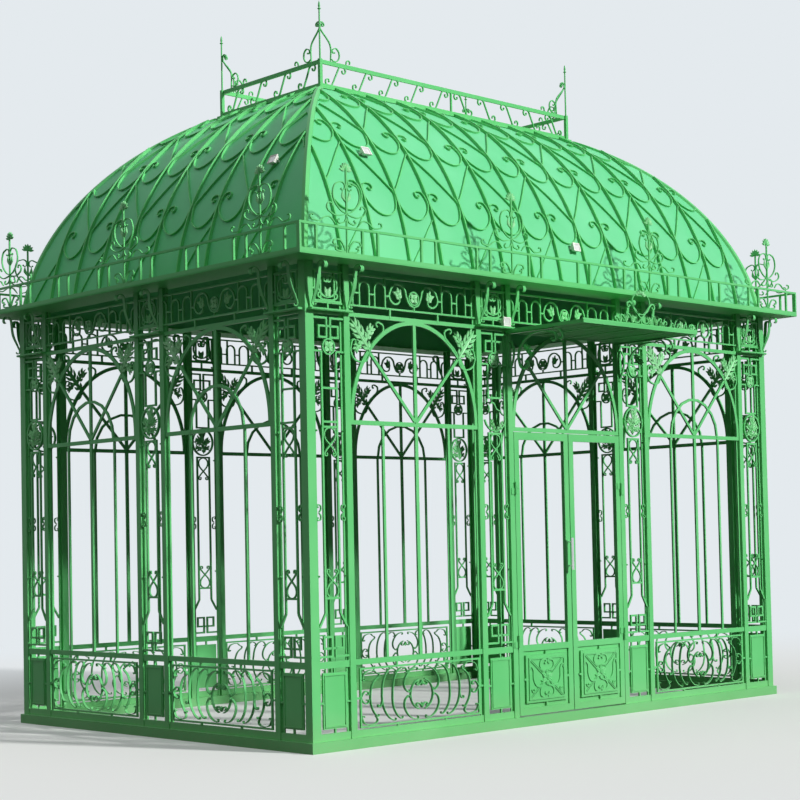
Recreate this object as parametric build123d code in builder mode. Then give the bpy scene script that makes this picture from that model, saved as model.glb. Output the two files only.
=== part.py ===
import os
from math import atan2, degrees, hypot, sqrt

from build123d import *

# An iron garden pavilion in the manner of a Victorian greenhouse: open scroll walls, a hipped
# curved roof with a small gallery on its flat top, and a double door under a flat canopy.
# Millimetres. The door side faces -Y, the ground is Z = 0, and the origin is under the middle
# of the whole outline.

# Plan
bay = 1210  # clear width of a window bay
door_opening = 1200  # clear width between the door posts
pilaster = 265  # clear width of a pilaster panel
upright = 50  # face of an upright
post = 70  # side of a corner post

# Heights of the wall's zones, from the ground up
sole_height = 70
bottom_rail = 50
scroll_panel_height = 425
lower_rail = 45
light_height = 1570  # the open part between the lower rail and the transom
transom = 30
arch_rise = 698
top_rail = 27
frieze_gap = 45
frieze_height = 273
frieze_head_drop = 50  # soffit to the top of the frieze's upper rail

# Sections
upright_depth = 48  # front to back of an upright
fin_reach = 20  # what a fin stands out beside its upright
fin_set_back = 20  # front of the upright to the fin
fin_thickness = 8
grille_set_back = 6  # front of the upright to the grille
grille_thickness = fin_set_back - grille_set_back
sole_reach = 20  # what the sole stands out before the wall
sole_width = 90
joint_gap = 0.5  # butt joint between lengths of the sole and the eave

# Eave and its gallery
eave_reach = 207  # wall face to eave edge
eave_thickness = 12
eave_inner = 75  # wall face to the eave plate's inner edge
gallery_height = 197
gallery_bar = 16
gallery_panel_pitch = 540  # about what one panel of the railing and its neighbour's gap take
gallery_post_pair = 136  # between the two posts where panels meet
gallery_bottom_bar = 26

# Roof
roof_radius = 1925  # curve of the roof's outer face
roof_thickness = 10
roof_foot_inset = 26  # wall face to the roof's foot
crown_inset = 1150  # wall face to the edge of the flat top
crown_rise = 1550  # eave plate to the flat top
crown_plate_thickness = 17
hip_bar_width = 44
hip_bar_height = 16

# Gallery and finials on the flat top
crown_gallery_height = 211
crown_post = 26
finial_height = 446  # above the crown gallery
finial_radius = 9

# Canopy over the door
canopy_projection = 750
canopy_drop = 10  # top rail's upper edge to the canopy's top
canopy_edge = 26  # height of the canopy's edge bars
canopy_edge_width = 24
canopy_sheet = 5
canopy_slat = 40
canopy_bracket_drop = 300
canopy_bracket_reach = 430
canopy_bracket_width = 14

# Doors
leaf_gap = 5
leaf_bottom_gap = 10
leaf_thickness = 30
leaf_stile = 50
leaf_top_rail = 56
leaf_panel_thickness = 6
knuckle_radius = 9
knuckle_length = 45
knuckle_gap = 0.3
hinge_strap = 5
hinge_heights = (505, 1626)  # above the sole
handle_radius = 10
handle_reach = 45
handle_height = 1060  # sole to the handle's lower end
handle_length = 240
handle_stem_radius = 6

# Levels, worked out from the heights
bottom_rail_top = sole_height + bottom_rail
lower_rail_bottom = bottom_rail_top + scroll_panel_height
lower_rail_top = lower_rail_bottom + lower_rail
transom_bottom = lower_rail_top + light_height
transom_top = transom_bottom + transom
top_rail_bottom = transom_top + arch_rise
top_rail_top = top_rail_bottom + top_rail
frieze_bottom = top_rail_top + frieze_gap
soffit = frieze_bottom + frieze_height
eave_top = soffit + eave_thickness
crown_level = eave_top + crown_rise

# Bays of the long and the short walls
front_openings = (bay, door_opening, bay)
side_openings = (bay, bay)


def wall_length(openings):
    panels = len(openings) + 1
    return 2 * post + panels * pilaster + sum(openings) + 2 * len(openings) * upright


width = wall_length(front_openings)
depth = wall_length(side_openings)
front_face = (canopy_projection - eave_reach - depth) / 2  # Y of the front wall's outer face
back_face = front_face + depth
left_face = -width / 2
right_face = width / 2
mid_y = (front_face + back_face) / 2

# One plane on the outer face of each wall: local x runs to the right as seen from outside,
# local y is the height, and the plane's normal points out.
front_plane = Plane(origin=(0, front_face, 0), x_dir=(1, 0, 0), z_dir=(0, -1, 0))
back_plane = Plane(origin=(0, back_face, 0), x_dir=(-1, 0, 0), z_dir=(0, 1, 0))
left_plane = Plane(origin=(left_face, mid_y, 0), x_dir=(0, -1, 0), z_dir=(-1, 0, 0))
right_plane = Plane(origin=(right_face, mid_y, 0), x_dir=(0, 1, 0), z_dir=(1, 0, 0))
walls = {
    "front": (front_plane, front_openings),
    "back": (back_plane, front_openings),
    "left": (left_plane, side_openings),
    "right": (right_plane, side_openings),
}


def wall_layout(openings):
    """Middles of the pilasters, uprights and bays along a wall, from left to right."""
    pilasters, uprights, bays = [], [], []
    edge = -wall_length(openings) / 2 + post
    for opening in openings:
        pilasters.append(edge + pilaster / 2)
        edge += pilaster
        uprights.append(edge + upright / 2)
        edge += upright
        bays.append((edge + opening / 2, opening))
        edge += opening
        uprights.append(edge + upright / 2)
        edge += upright
    pilasters.append(edge + pilaster / 2)
    return pilasters, uprights, bays


def upright_bar(x, bottom, top, bar_width):
    """A bar drawn on a wall plane, from one height to another."""
    with Locations((x, (bottom + top) / 2)):
        Rectangle(bar_width, top - bottom)


def level_bar(x1, x2, bottom, top):
    """A rail drawn on a wall plane, from one side to the other."""
    with Locations(((x1 + x2) / 2, (bottom + top) / 2)):
        Rectangle(x2 - x1, top - bottom)


def slanted_bar(start, end, bar_width):
    """A bar drawn on a wall plane, between two points."""
    line = Line(start, end, mode=Mode.PRIVATE)
    trace(line, line_width=bar_width)


os.makedirs("parts", exist_ok=True)

# Sole: a flat curb all round, in four lengths with open butt joints
sole_x = width / 2 + sole_reach
with BuildPart() as sole_plates:
    for face, inward in ((front_face, 1), (back_face, -1)):
        with BuildSketch():
            with Locations((0, face + inward * (sole_width / 2 - sole_reach))):
                Rectangle(2 * sole_x, sole_width)
        extrude(amount=sole_height)
    side_length = depth - 2 * (sole_width - sole_reach) - 2 * joint_gap
    for side in (-1, 1):
        with BuildSketch():
            with Locations((side * (sole_x - sole_width / 2), mid_y)):
                Rectangle(sole_width, side_length)
        extrude(amount=sole_height)
sole_plates.part.label = "sole_plates"
export_step(sole_plates.part, "parts/sole_plates.step")

# Corner posts: square bars from the sole to the soffit, each with two fins
with BuildPart() as corner_posts:
    with BuildSketch(Plane.XY.offset(sole_height)):
        with Locations((0, mid_y)):
            with GridLocations(width - post, depth - post, 2, 2):
                Rectangle(post, post)
        fin_middle = fin_set_back + fin_thickness / 2
        for x_side in (-1, 1):
            for y_side in (-1, 1):
                corner_x = x_side * width / 2
                corner_y = mid_y + y_side * depth / 2
                with Locations((corner_x - x_side * (post + fin_reach / 2), corner_y - y_side * fin_middle)):
                    Rectangle(fin_reach, fin_thickness)
                with Locations((corner_x - x_side * fin_middle, corner_y - y_side * (post + fin_reach / 2))):
                    Rectangle(fin_thickness, fin_reach)
    extrude(amount=soffit - sole_height)
corner_posts.part.label = "corner_posts"
export_step(corner_posts.part, "parts/corner_posts.step")

# Uprights: a bar with a fin on each side, except towards the door
for wall_name, (plane, openings) in walls.items():
    pilasters, upright_middles, bays = wall_layout(openings)
    with BuildPart() as uprights:
        with BuildSketch(plane):
            for x in upright_middles:
                upright_bar(x, sole_height, soffit, upright)
        extrude(amount=-upright_depth)
        with BuildSketch(plane.offset(-fin_set_back)):
            for number, x in enumerate(upright_middles):
                left_reach = upright / 2 + fin_reach
                right_reach = upright / 2 + fin_reach
                if wall_name == "front" and number == 2:
                    right_reach = 0
                if wall_name == "front" and number == 3:
                    left_reach = 0
                level_bar(x - left_reach, x + right_reach, sole_height, soffit)
        extrude(amount=-fin_thickness)
    uprights.part.label = f"{wall_name}_uprights"
    export_step(uprights.part, f"parts/{wall_name}_uprights.step")

# Pilaster panels: a plate below, and a bottle-necked frame of bars above it
plate_slot = 30  # open slot beside the plate
plate_gap = 28  # open slot above and below the plate
tab = 12
neck_foot = 226  # lower rail to the foot of the neck
neck_shoulder = 316  # lower rail to where the inner bars stand upright
neck_tie = 408  # lower rail to the tie across the neck
inner_bar = 14
inner_bar_place = 64  # middle of the panel to each inner bar
stub_drop = 248  # top rail to the stub bars
stub_bar = 12
stile_bar = 9
oval_height = 244  # clear space for a cast oval between the upper and the lower bars
oval_foot_drop = 22  # transom's underside to the top of the lower bars


def pilaster_drawing():
    """One pilaster panel between its uprights, drawn about x = 0."""
    half = pilaster / 2
    stub_level = top_rail_bottom - stub_drop
    with BuildSketch() as drawing:
        level_bar(-half, half, sole_height, bottom_rail_top)
        level_bar(-half, half, lower_rail_bottom, lower_rail_top)
        level_bar(-half, half, top_rail_bottom, top_rail_top)
        plate_side = half - plate_slot
        level_bar(-plate_side, plate_side, bottom_rail_top + plate_gap, lower_rail_bottom - plate_gap)
        upright_bar(0, bottom_rail_top, lower_rail_bottom, tab)
        neck_level = lower_rail_top + neck_tie
        oval_foot = transom_bottom - oval_foot_drop + inner_bar / 2
        for level in (neck_level, oval_foot - inner_bar, oval_foot + oval_height):
            level_bar(-inner_bar_place, inner_bar_place, level, level + inner_bar)
        for side in (-1, 1):
            edge = side * (half - stile_bar / 2)
            inner = side * inner_bar_place
            foot = (side * (half - inner_bar), lower_rail_top + neck_foot)
            upright_bar(edge, lower_rail_top, lower_rail_top + neck_foot, stile_bar)
            slanted_bar(foot, (inner, lower_rail_top + neck_shoulder), inner_bar)
            upright_bar(inner, lower_rail_top + neck_shoulder, oval_foot, inner_bar)
            upright_bar(inner, oval_foot + oval_height, stub_level, inner_bar)
            near, far = sorted((inner, side * half))
            level_bar(near, far, stub_level - stub_bar / 2, stub_level + stub_bar / 2)
    return drawing.sketch


pilaster_face = pilaster_drawing()
for wall_name, (plane, openings) in walls.items():
    pilaster_middles, upright_middles, bays = wall_layout(openings)
    with BuildPart() as panels:
        with BuildSketch(plane.offset(-grille_set_back)):
            with Locations(*[(x, 0) for x in pilaster_middles]):
                add(pilaster_face)
        extrude(amount=-grille_thickness)
    panels.part.label = f"{wall_name}_pilaster_panels"
    export_step(panels.part, f"parts/{wall_name}_pilaster_panels.step")

# Window panels: three bars over a low panel, and a wide arch between transom and top rail
bar_width = 20
middle_bar_width = 28
bar_place = 312  # middle of the bay to each outer bar
arch_bar = 28
diagonal_bar = 24
diagonal_share = 0.8  # where a diagonal meets the top rail, as a share of the half bay


def arch_head(opening):
    """The head of a bay, from the transom to the top rail, drawn about x = 0."""
    half = opening / 2
    with Locations((0, transom_top)):
        Ellipse(half, arch_rise + arch_bar / 4)
        Ellipse(half - arch_bar, arch_rise - arch_bar * 3 / 4, mode=Mode.SUBTRACT)
    with Locations((0, transom_bottom - arch_rise)):
        Rectangle(opening, 2 * arch_rise, mode=Mode.SUBTRACT)
    level_bar(-half, half, transom_bottom, transom_top)
    level_bar(-half, half, top_rail_bottom, top_rail_top)
    upright_bar(0, transom_top, top_rail_bottom, middle_bar_width)
    for side in (-1, 1):
        slanted_bar((0, transom_top), (side * diagonal_share * half, top_rail_bottom), diagonal_bar)


def window_drawing(opening):
    """A whole window bay between its uprights, drawn about x = 0."""
    half = opening / 2
    with BuildSketch() as drawing:
        arch_head(opening)
        level_bar(-half, half, lower_rail_bottom, lower_rail_top)
        level_bar(-half, half, sole_height, bottom_rail_top)
        upright_bar(0, lower_rail_top, transom_bottom, middle_bar_width)
        for side in (-1, 1):
            upright_bar(side * bar_place, lower_rail_top, transom_bottom, bar_width)
    return drawing.sketch


window_faces = {opening: window_drawing(opening) for opening in (bay, door_opening)}
for wall_name, (plane, openings) in walls.items():
    pilaster_middles, upright_middles, bays = wall_layout(openings)
    if wall_name == "front":
        bays = [bays[0], bays[2]]
    with BuildPart() as windows:
        with BuildSketch(plane.offset(-grille_set_back)):
            for x, opening in bays:
                with Locations((x, 0)):
                    add(window_faces[opening])
        extrude(amount=-grille_thickness)
    windows.part.label = f"{wall_name}_window_panels"
    export_step(windows.part, f"parts/{wall_name}_window_panels.step")

# Fanlight over the door: the head of a bay
with BuildSketch() as fanlight_face:
    arch_head(door_opening)
with BuildPart() as fanlight:
    with BuildSketch(front_plane.offset(-grille_set_back)):
        add(fanlight_face.sketch)
    extrude(amount=-grille_thickness)
fanlight.part.label = "fanlight"
export_step(fanlight.part, "parts/fanlight.step")

# Frieze: a band of framed bars between the uprights, up to the soffit
frieze_rail = 12
frieze_bar = 11
hoop_places = (0.446, 0.836)  # a hoop's leg from the panel's middle, as shares of half the bay


def frieze_drawing(opening):
    """A frieze panel between its uprights, drawn about x = 0."""
    half = opening / 2
    with BuildSketch() as drawing:
        level_bar(-half, half, frieze_bottom, frieze_bottom + frieze_rail)
        head = soffit - frieze_head_drop
        level_bar(-half, half, head - frieze_rail, head)
        for share in hoop_places:
            for side in (-1, 1):
                upright_bar(side * share * half, frieze_bottom, head, frieze_bar)
    return drawing.sketch


frieze_faces = {opening: frieze_drawing(opening) for opening in (pilaster, bay, door_opening)}
for wall_name, (plane, openings) in walls.items():
    pilaster_middles, upright_middles, bays = wall_layout(openings)
    with BuildPart() as frieze:
        with BuildSketch(plane.offset(-grille_set_back)):
            for x, opening in [(middle, pilaster) for middle in pilaster_middles] + bays:
                with Locations((x, 0)):
                    add(frieze_faces[opening])
        extrude(amount=-grille_thickness)
    frieze.part.label = f"{wall_name}_frieze"
    export_step(frieze.part, f"parts/{wall_name}_frieze.step")

# Consoles: a ledge over each pilaster with two bent straps that carry the eave
ledge_reach = 45
ledge_thickness = 15
ledge_sink = 10  # ledge's underside below the top of the rail
console_width = 28
console_bar = 9
console_foot_rise = 95  # straight foot of a strap on the ledge
console_reach = 125  # wall face to the strap's head
console_head = 60  # soffit to the strap's upper bend
ledge_bottom = top_rail_top - ledge_sink
ledge_top = ledge_bottom + ledge_thickness
with BuildSketch() as console_face:
    half_bar = console_bar / 2
    bends = (
        (half_bar, ledge_top),
        (half_bar, ledge_top + console_foot_rise),
        (console_reach, soffit - console_head),
        (console_reach, soffit - half_bar),
    )
    for start, end in zip(bends, bends[1:]):
        slanted_bar(start, end, console_bar)
    level_bar(0, console_reach + half_bar, soffit - console_bar, soffit)
for wall_name, (plane, openings) in walls.items():
    pilaster_middles, upright_middles, bays = wall_layout(openings)
    with BuildPart() as consoles:
        with BuildSketch(plane):
            for x in pilaster_middles:
                level_bar(x - pilaster / 2 - upright, x + pilaster / 2 + upright, ledge_bottom, ledge_top)
        extrude(amount=ledge_reach)
        for x in pilaster_middles:
            for side in (-1, 1):
                foot = plane.from_local_coords((x + side * (pilaster + upright) / 2, 0, 0))
                with BuildSketch(Plane(origin=foot, x_dir=plane.z_dir, z_dir=plane.x_dir * -1)):
                    add(console_face.sketch)
                extrude(amount=console_width / 2, both=True)
    consoles.part.label = f"{wall_name}_consoles"
    export_step(consoles.part, f"parts/{wall_name}_consoles.step")

# Eave: a flat plate all round on the posts, in four lengths with open butt joints
eave_x = width / 2 + eave_reach
eave_depth = eave_reach + eave_inner
with BuildPart() as eave_plates:
    for face, inward in ((front_face, 1), (back_face, -1)):
        with BuildSketch(Plane.XY.offset(soffit)):
            with Locations((0, face + inward * (eave_depth / 2 - eave_reach))):
                Rectangle(2 * eave_x, eave_depth)
        extrude(amount=eave_thickness)
    for side in (-1, 1):
        with BuildSketch(Plane.XY.offset(soffit)):
            with Locations((side * (eave_x - eave_depth / 2), mid_y)):
                Rectangle(eave_depth, depth - 2 * eave_inner - 2 * joint_gap)
        extrude(amount=eave_thickness)
eave_plates.part.label = "eave_plates"
export_step(eave_plates.part, "parts/eave_plates.step")

# Eave gallery: a low railing on the edge of the eave
gallery_top = eave_top + gallery_height
for wall_name, (plane, openings) in walls.items():
    overall = wall_length(openings) + 2 * eave_reach
    if wall_name in ("left", "right"):
        overall -= 2 * gallery_bar
    with BuildPart() as gallery:
        with BuildSketch(plane.offset(eave_reach)):
            level_bar(-overall / 2, overall / 2, eave_top, eave_top + gallery_bottom_bar)
            level_bar(-overall / 2, overall / 2, gallery_top - gallery_bar, gallery_top)
            spaces = round(overall / gallery_panel_pitch)
            pairs_reach = overall - gallery_bar - gallery_post_pair
            for step in range(spaces + 1):
                pair = -pairs_reach / 2 + step * pairs_reach / spaces
                for side in (-1, 1):
                    upright_bar(pair + side * gallery_post_pair / 2, eave_top, gallery_top, gallery_bar)
        extrude(amount=-gallery_bar)
    gallery.part.label = f"{wall_name}_eave_gallery"
    export_step(gallery.part, f"parts/{wall_name}_eave_gallery.step")

# Eave crests: a lyre on the railing over each pilaster, outlined as a diamond on its stem
crest_height = 430
crest_spread = 150  # stem to the widest point of the lyre
crest_waist = 155  # height of that widest point
crest_bar = 14
with BuildSketch() as crest_face:
    for reach, low, high in (
        (crest_spread, 0, 2 * crest_waist),
        (crest_spread - 2 * crest_bar, 2 * crest_bar, 2 * crest_waist - 2 * crest_bar),
    ):
        Polygon(
            (0, low),
            (reach, crest_waist),
            (0, high),
            (-reach, crest_waist),
            align=None,
            mode=Mode.ADD if low == 0 else Mode.SUBTRACT,
        )
    upright_bar(0, 0, crest_height, crest_bar)
with BuildPart() as eave_crests:
    for wall_name, (plane, openings) in walls.items():
        pilaster_middles, upright_middles, bays = wall_layout(openings)
        with BuildSketch(plane.offset(eave_reach)):
            with Locations(*[(x, gallery_top) for x in pilaster_middles]):
                add(crest_face.sketch)
        extrude(amount=-crest_bar)
eave_crests.part.label = "eave_crests"
export_step(eave_crests.part, "parts/eave_crests.step")

# Roof: four curved sheets that meet on the hips. The curve is one arc from foot to crown.
rise = crown_level - eave_top
run = crown_inset - roof_foot_inset
chord = hypot(run, rise)
sag = sqrt(roof_radius**2 - (chord / 2) ** 2)
centre_inset = (roof_foot_inset + crown_inset) / 2 + sag * rise / chord
centre_level = (eave_top + crown_level) / 2 - sag * run / chord


def roof_band(face, inward, outer, inner):
    """The strip of a wall's roof curve between two radii, drawn across the wall."""
    with Locations((face + inward * centre_inset, centre_level)):
        Circle(outer)
        Circle(inner, mode=Mode.SUBTRACT)
    with Locations((face + inward * (centre_inset / 2 - eave_reach / 2), eave_top + rise / 2)):
        Rectangle(centre_inset + eave_reach, rise, mode=Mode.INTERSECT)


def roof_plan(half_length, half_depth, toward):
    """The plan of one long side of the roof, from the hip lines out to the foot."""
    Polygon(
        (-half_length, -toward * half_depth),
        (half_length, -toward * half_depth),
        (half_length - half_depth, 0),
        (-half_length + half_depth, 0),
        align=None,
    )


for wall_name, face, inward in (("front", front_face, 1), ("back", back_face, -1)):
    with BuildPart() as roof_side:
        with BuildSketch(Plane.YZ):
            roof_band(face, inward, roof_radius, roof_radius - roof_thickness)
        extrude(amount=width / 2, both=True)
        with BuildSketch(Plane(origin=(0, mid_y, eave_top))):
            roof_plan(width / 2, depth / 2, inward)
        extrude(amount=rise, mode=Mode.INTERSECT)
    roof_side.part.label = f"{wall_name}_roof"
    export_step(roof_side.part, f"parts/{wall_name}_roof.step")

for wall_name, face, inward in (("left", left_face, 1), ("right", right_face, -1)):
    with BuildPart() as roof_side:
        with BuildSketch(Plane(origin=(0, mid_y, 0), x_dir=(1, 0, 0), z_dir=(0, -1, 0))):
            roof_band(face, inward, roof_radius, roof_radius - roof_thickness)
        extrude(amount=depth / 2, both=True)
        with BuildSketch(Plane(origin=(0, mid_y, eave_top))):
            Polygon(
                (-inward * width / 2, -depth / 2),
                (-inward * width / 2, depth / 2),
                (-inward * (width - depth) / 2, 0),
                align=None,
            )
        extrude(amount=rise, mode=Mode.INTERSECT)
    roof_side.part.label = f"{wall_name}_roof"
    export_step(roof_side.part, f"parts/{wall_name}_roof.step")

# Hip bars: a flat bar bent along each hip, half of it on either sheet
with BuildPart() as hip_bars:
    with BuildSketch(Plane.YZ):
        roof_band(front_face, 1, roof_radius + hip_bar_height, roof_radius)
    extrude(amount=width / 2, both=True)
    with BuildSketch(Plane.XY.offset(eave_top)):
        half_strip = hip_bar_width / sqrt(2)
        Polygon(
            (left_face, front_face),
            (left_face + half_strip, front_face),
            (left_face + depth / 2 + half_strip, mid_y),
            (left_face + depth / 2, mid_y),
            align=None,
        )
    extrude(amount=rise, mode=Mode.INTERSECT)
    mirror(about=Plane(origin=(left_face, front_face, 0), z_dir=(1, -1, 0)))
    mirror(about=Plane.YZ)
    mirror(about=Plane(origin=(0, mid_y, 0), z_dir=(0, 1, 0)))
hip_bars.part.label = "hip_bars"
export_step(hip_bars.part, "parts/hip_bars.step")

# Crown: the flat top plate, a low railing on it and a spear at each corner
crown_reach = 12  # what the plate stands out beyond the roof sheets
crown_rail_inset = 14  # roof sheet's top edge to the railing's outer face
crown_top = crown_level + crown_plate_thickness
crown_length = width - 2 * crown_inset
crown_depth = depth - 2 * crown_inset
with BuildPart() as crown_plate:
    with BuildSketch(Plane.XY.offset(crown_level)):
        with Locations((0, mid_y)):
            Rectangle(crown_length + 2 * crown_reach, crown_depth + 2 * crown_reach)
    extrude(amount=crown_plate_thickness)
crown_plate.part.label = "crown_plate"
export_step(crown_plate.part, "parts/crown_plate.step")

finial_x = crown_length / 2 - crown_rail_inset - crown_post / 2
finial_y = crown_depth / 2 - crown_rail_inset - crown_post / 2
spear_length = 90
spear_width = 40
spear_neck = 8
collar_height = 14
collar_width = 30
spear_tip = 2  # width of its blunt point
rail_top = crown_top + crown_gallery_height
with BuildPart() as finials:
    spear_foot = rail_top + finial_height - spear_length
    spear_widest = spear_foot + spear_length / 3
    flare = degrees(atan2((spear_width - spear_neck) / 2, spear_length / 3))
    point = degrees(atan2((spear_width - spear_tip) / 2, spear_length * 2 / 3))
    for bottom, top, side, taper in (
        (crown_top, rail_top, crown_post, 0),
        (rail_top, spear_foot, 2 * finial_radius, 0),
        (spear_foot - collar_height, spear_foot, collar_width, 0),
        (spear_foot, spear_widest, spear_neck, -flare),
        (spear_widest, rail_top + finial_height, spear_width, point),
    ):
        with BuildSketch(Plane.XY.offset(bottom)):
            with Locations((0, mid_y)):
                with GridLocations(2 * finial_x, 2 * finial_y, 2, 2):
                    Rectangle(side, side)
        extrude(amount=top - bottom, taper=taper)
finials.part.label = "finials"
export_step(finials.part, "parts/finials.step")

crown_bar = 14
with BuildPart() as crown_gallery:
    for toward in (-1, 1):
        rail_plane = Plane(origin=(0, mid_y + toward * finial_y, 0), x_dir=(1, 0, 0), z_dir=(0, -1, 0))
        with BuildSketch(rail_plane):
            reach = finial_x - crown_post / 2
            level_bar(-reach, reach, crown_top, crown_top + crown_bar)
            level_bar(-reach, reach, rail_top - crown_bar, rail_top)
            upright_bar(0, crown_top, rail_top, crown_bar)
        extrude(amount=crown_bar / 2, both=True)
        rail_plane = Plane(origin=(toward * finial_x, mid_y, 0), x_dir=(0, 1, 0), z_dir=(1, 0, 0))
        with BuildSketch(rail_plane):
            reach = finial_y - crown_post / 2
            level_bar(-reach, reach, crown_top, crown_top + crown_bar)
            level_bar(-reach, reach, rail_top - crown_bar, rail_top)
            upright_bar(0, crown_top, rail_top, crown_bar)
        extrude(amount=crown_bar / 2, both=True)
crown_gallery.part.label = "crown_gallery"
export_step(crown_gallery.part, "parts/crown_gallery.step")

# Canopy: a sheet on a frame of flat bars, as wide as the door with its posts
canopy_x = door_opening / 2 + upright
canopy_top = top_rail_top - canopy_drop
canopy_bottom = canopy_top - canopy_edge
slat_count = 3
with BuildPart() as canopy:
    with BuildSketch(Plane.XY.offset(canopy_bottom)):
        with Locations((0, front_face - canopy_projection / 2)):
            Rectangle(2 * canopy_x, canopy_projection)
            Rectangle(
                2 * (canopy_x - canopy_edge_width),
                canopy_projection - 2 * canopy_edge_width,
                mode=Mode.SUBTRACT,
            )
            with GridLocations(2 * canopy_x / (slat_count + 1), 0, slat_count, 1):
                Rectangle(canopy_slat, canopy_projection)
    extrude(amount=canopy_edge)
    with BuildSketch(Plane.XY.offset(canopy_top - canopy_sheet)):
        with Locations((0, front_face - canopy_projection / 2)):
            Rectangle(2 * canopy_x, canopy_projection)
    extrude(amount=canopy_sheet)
canopy.part.label = "canopy"
export_step(canopy.part, "parts/canopy.step")

brace_foot_rise = 20  # bracket's foot to the start of its curved brace
brace_radius = canopy_bracket_drop - brace_foot_rise - canopy_bracket_width
bracket_x = canopy_x - upright / 2
with BuildSketch() as bracket_face:
    foot = canopy_bottom - canopy_bracket_drop
    level_bar(0, canopy_bracket_width, foot, canopy_bottom)
    level_bar(0, canopy_bracket_reach, canopy_bottom - canopy_bracket_width, canopy_bottom)
    with BuildLine(mode=Mode.PRIVATE) as brace:
        JernArc(
            start=(canopy_bracket_width / 2, foot + brace_foot_rise),
            tangent=(1, 0),
            radius=brace_radius,
            arc_size=90,
        )
    trace(brace.line, line_width=canopy_bracket_width)
with BuildPart() as canopy_brackets:
    for side in (-1, 1):
        with BuildSketch(Plane(origin=(side * bracket_x, front_face, 0), x_dir=(0, -1, 0), z_dir=(-1, 0, 0))):
            add(bracket_face.sketch)
        extrude(amount=canopy_bracket_width / 2, both=True)
canopy_brackets.part.label = "canopy_brackets"
export_step(canopy_brackets.part, "parts/canopy_brackets.step")

# Canopy cresting: a rail on the canopy's front edge with a tall lyre in its middle
canopy_crest_height = 100
canopy_crest_middle = 260
canopy_crest_spread = 90
canopy_crest_spaces = 8
with BuildSketch() as cresting_face:
    level_bar(-canopy_x, canopy_x, 0, crest_bar)
    upright_bar(0, 0, canopy_crest_middle, crest_bar)
    for side in (-1, 1):
        slanted_bar((0, crest_bar), (side * canopy_crest_spread, canopy_crest_middle * 2 / 3), crest_bar)
        for step in range(1, canopy_crest_spaces // 2):
            place = side * step * 2 * canopy_x / canopy_crest_spaces
            tip = (place + side * canopy_crest_height / 2, canopy_crest_height)
            slanted_bar((place, crest_bar), tip, crest_bar)
with BuildPart() as canopy_cresting:
    with BuildSketch(front_plane.offset(canopy_projection)):
        with Locations((0, canopy_top)):
            add(cresting_face.sketch)
    extrude(amount=-crest_bar)
canopy_cresting.part.label = "canopy_cresting"
export_step(canopy_cresting.part, "parts/canopy_cresting.step")

# Doors: two leaves, open above and sheeted below, that swing out on two hinges each
pin_radius = 4
pin_clearance = 0.1
meeting_gap = 8
strap_reach = 40
leaf_bottom = sole_height + leaf_bottom_gap
leaf_rail = 50  # leaf's bottom rail
hinge_levels = [sole_height + height for height in hinge_heights]
leaf_top = transom_bottom - leaf_gap
leaf_width = (door_opening - meeting_gap) / 2 - leaf_gap
hinge_x = door_opening / 2 - leaf_gap / 2
knuckle_stand_off = 1  # leaf's face to the knuckle
hinge_y = front_face - knuckle_radius - knuckle_stand_off
for side, side_name in ((-1, "left"), (1, "right")):
    leaf_middle = side * (meeting_gap + leaf_width) / 2
    with BuildPart() as leaf:
        with BuildSketch(front_plane):
            level_bar(leaf_middle - leaf_width / 2, leaf_middle + leaf_width / 2, leaf_bottom, leaf_top)
            inner_half = leaf_width / 2 - leaf_stile
            sheet_opening = (leaf_bottom + leaf_rail, lower_rail_bottom)
            light_opening = (lower_rail_top, leaf_top - leaf_top_rail)
            for low, high in (sheet_opening, light_opening):
                with Locations((leaf_middle, (low + high) / 2)):
                    Rectangle(2 * inner_half, high - low, mode=Mode.SUBTRACT)
        extrude(amount=-leaf_thickness)
        with BuildSketch(front_plane.offset(-(leaf_thickness - leaf_panel_thickness) / 2)):
            level_bar(leaf_middle - inner_half, leaf_middle + inner_half, leaf_bottom, lower_rail_top)
        extrude(amount=-leaf_panel_thickness)
        for level in hinge_levels:
            with BuildSketch(Plane.XY.offset(level + knuckle_length + knuckle_gap)):
                with Locations((side * hinge_x, hinge_y)):
                    Circle(knuckle_radius)
                with Locations((side * (hinge_x - strap_reach / 2), front_face - hinge_strap / 2)):
                    Rectangle(strap_reach, hinge_strap)
                with Locations((side * hinge_x, hinge_y)):
                    Circle(pin_radius + pin_clearance, mode=Mode.SUBTRACT)
            extrude(amount=knuckle_length)
    leaf.part.label = f"{side_name}_door_leaf"
    export_step(leaf.part, f"parts/{side_name}_door_leaf.step")

with BuildPart() as door_hinges:
    for side in (-1, 1):
        for level in hinge_levels:
            with BuildSketch(Plane.XY.offset(level)):
                with Locations((side * hinge_x, hinge_y)):
                    Circle(knuckle_radius)
                with Locations((side * (hinge_x + strap_reach / 2), front_face - hinge_strap / 2)):
                    Rectangle(strap_reach, hinge_strap)
            extrude(amount=knuckle_length)
            with BuildSketch(Plane.XY.offset(level + knuckle_length)):
                with Locations((side * hinge_x, hinge_y)):
                    Circle(pin_radius)
            extrude(amount=knuckle_gap + knuckle_length)
door_hinges.part.label = "door_hinges"
export_step(door_hinges.part, "parts/door_hinges.step")

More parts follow.
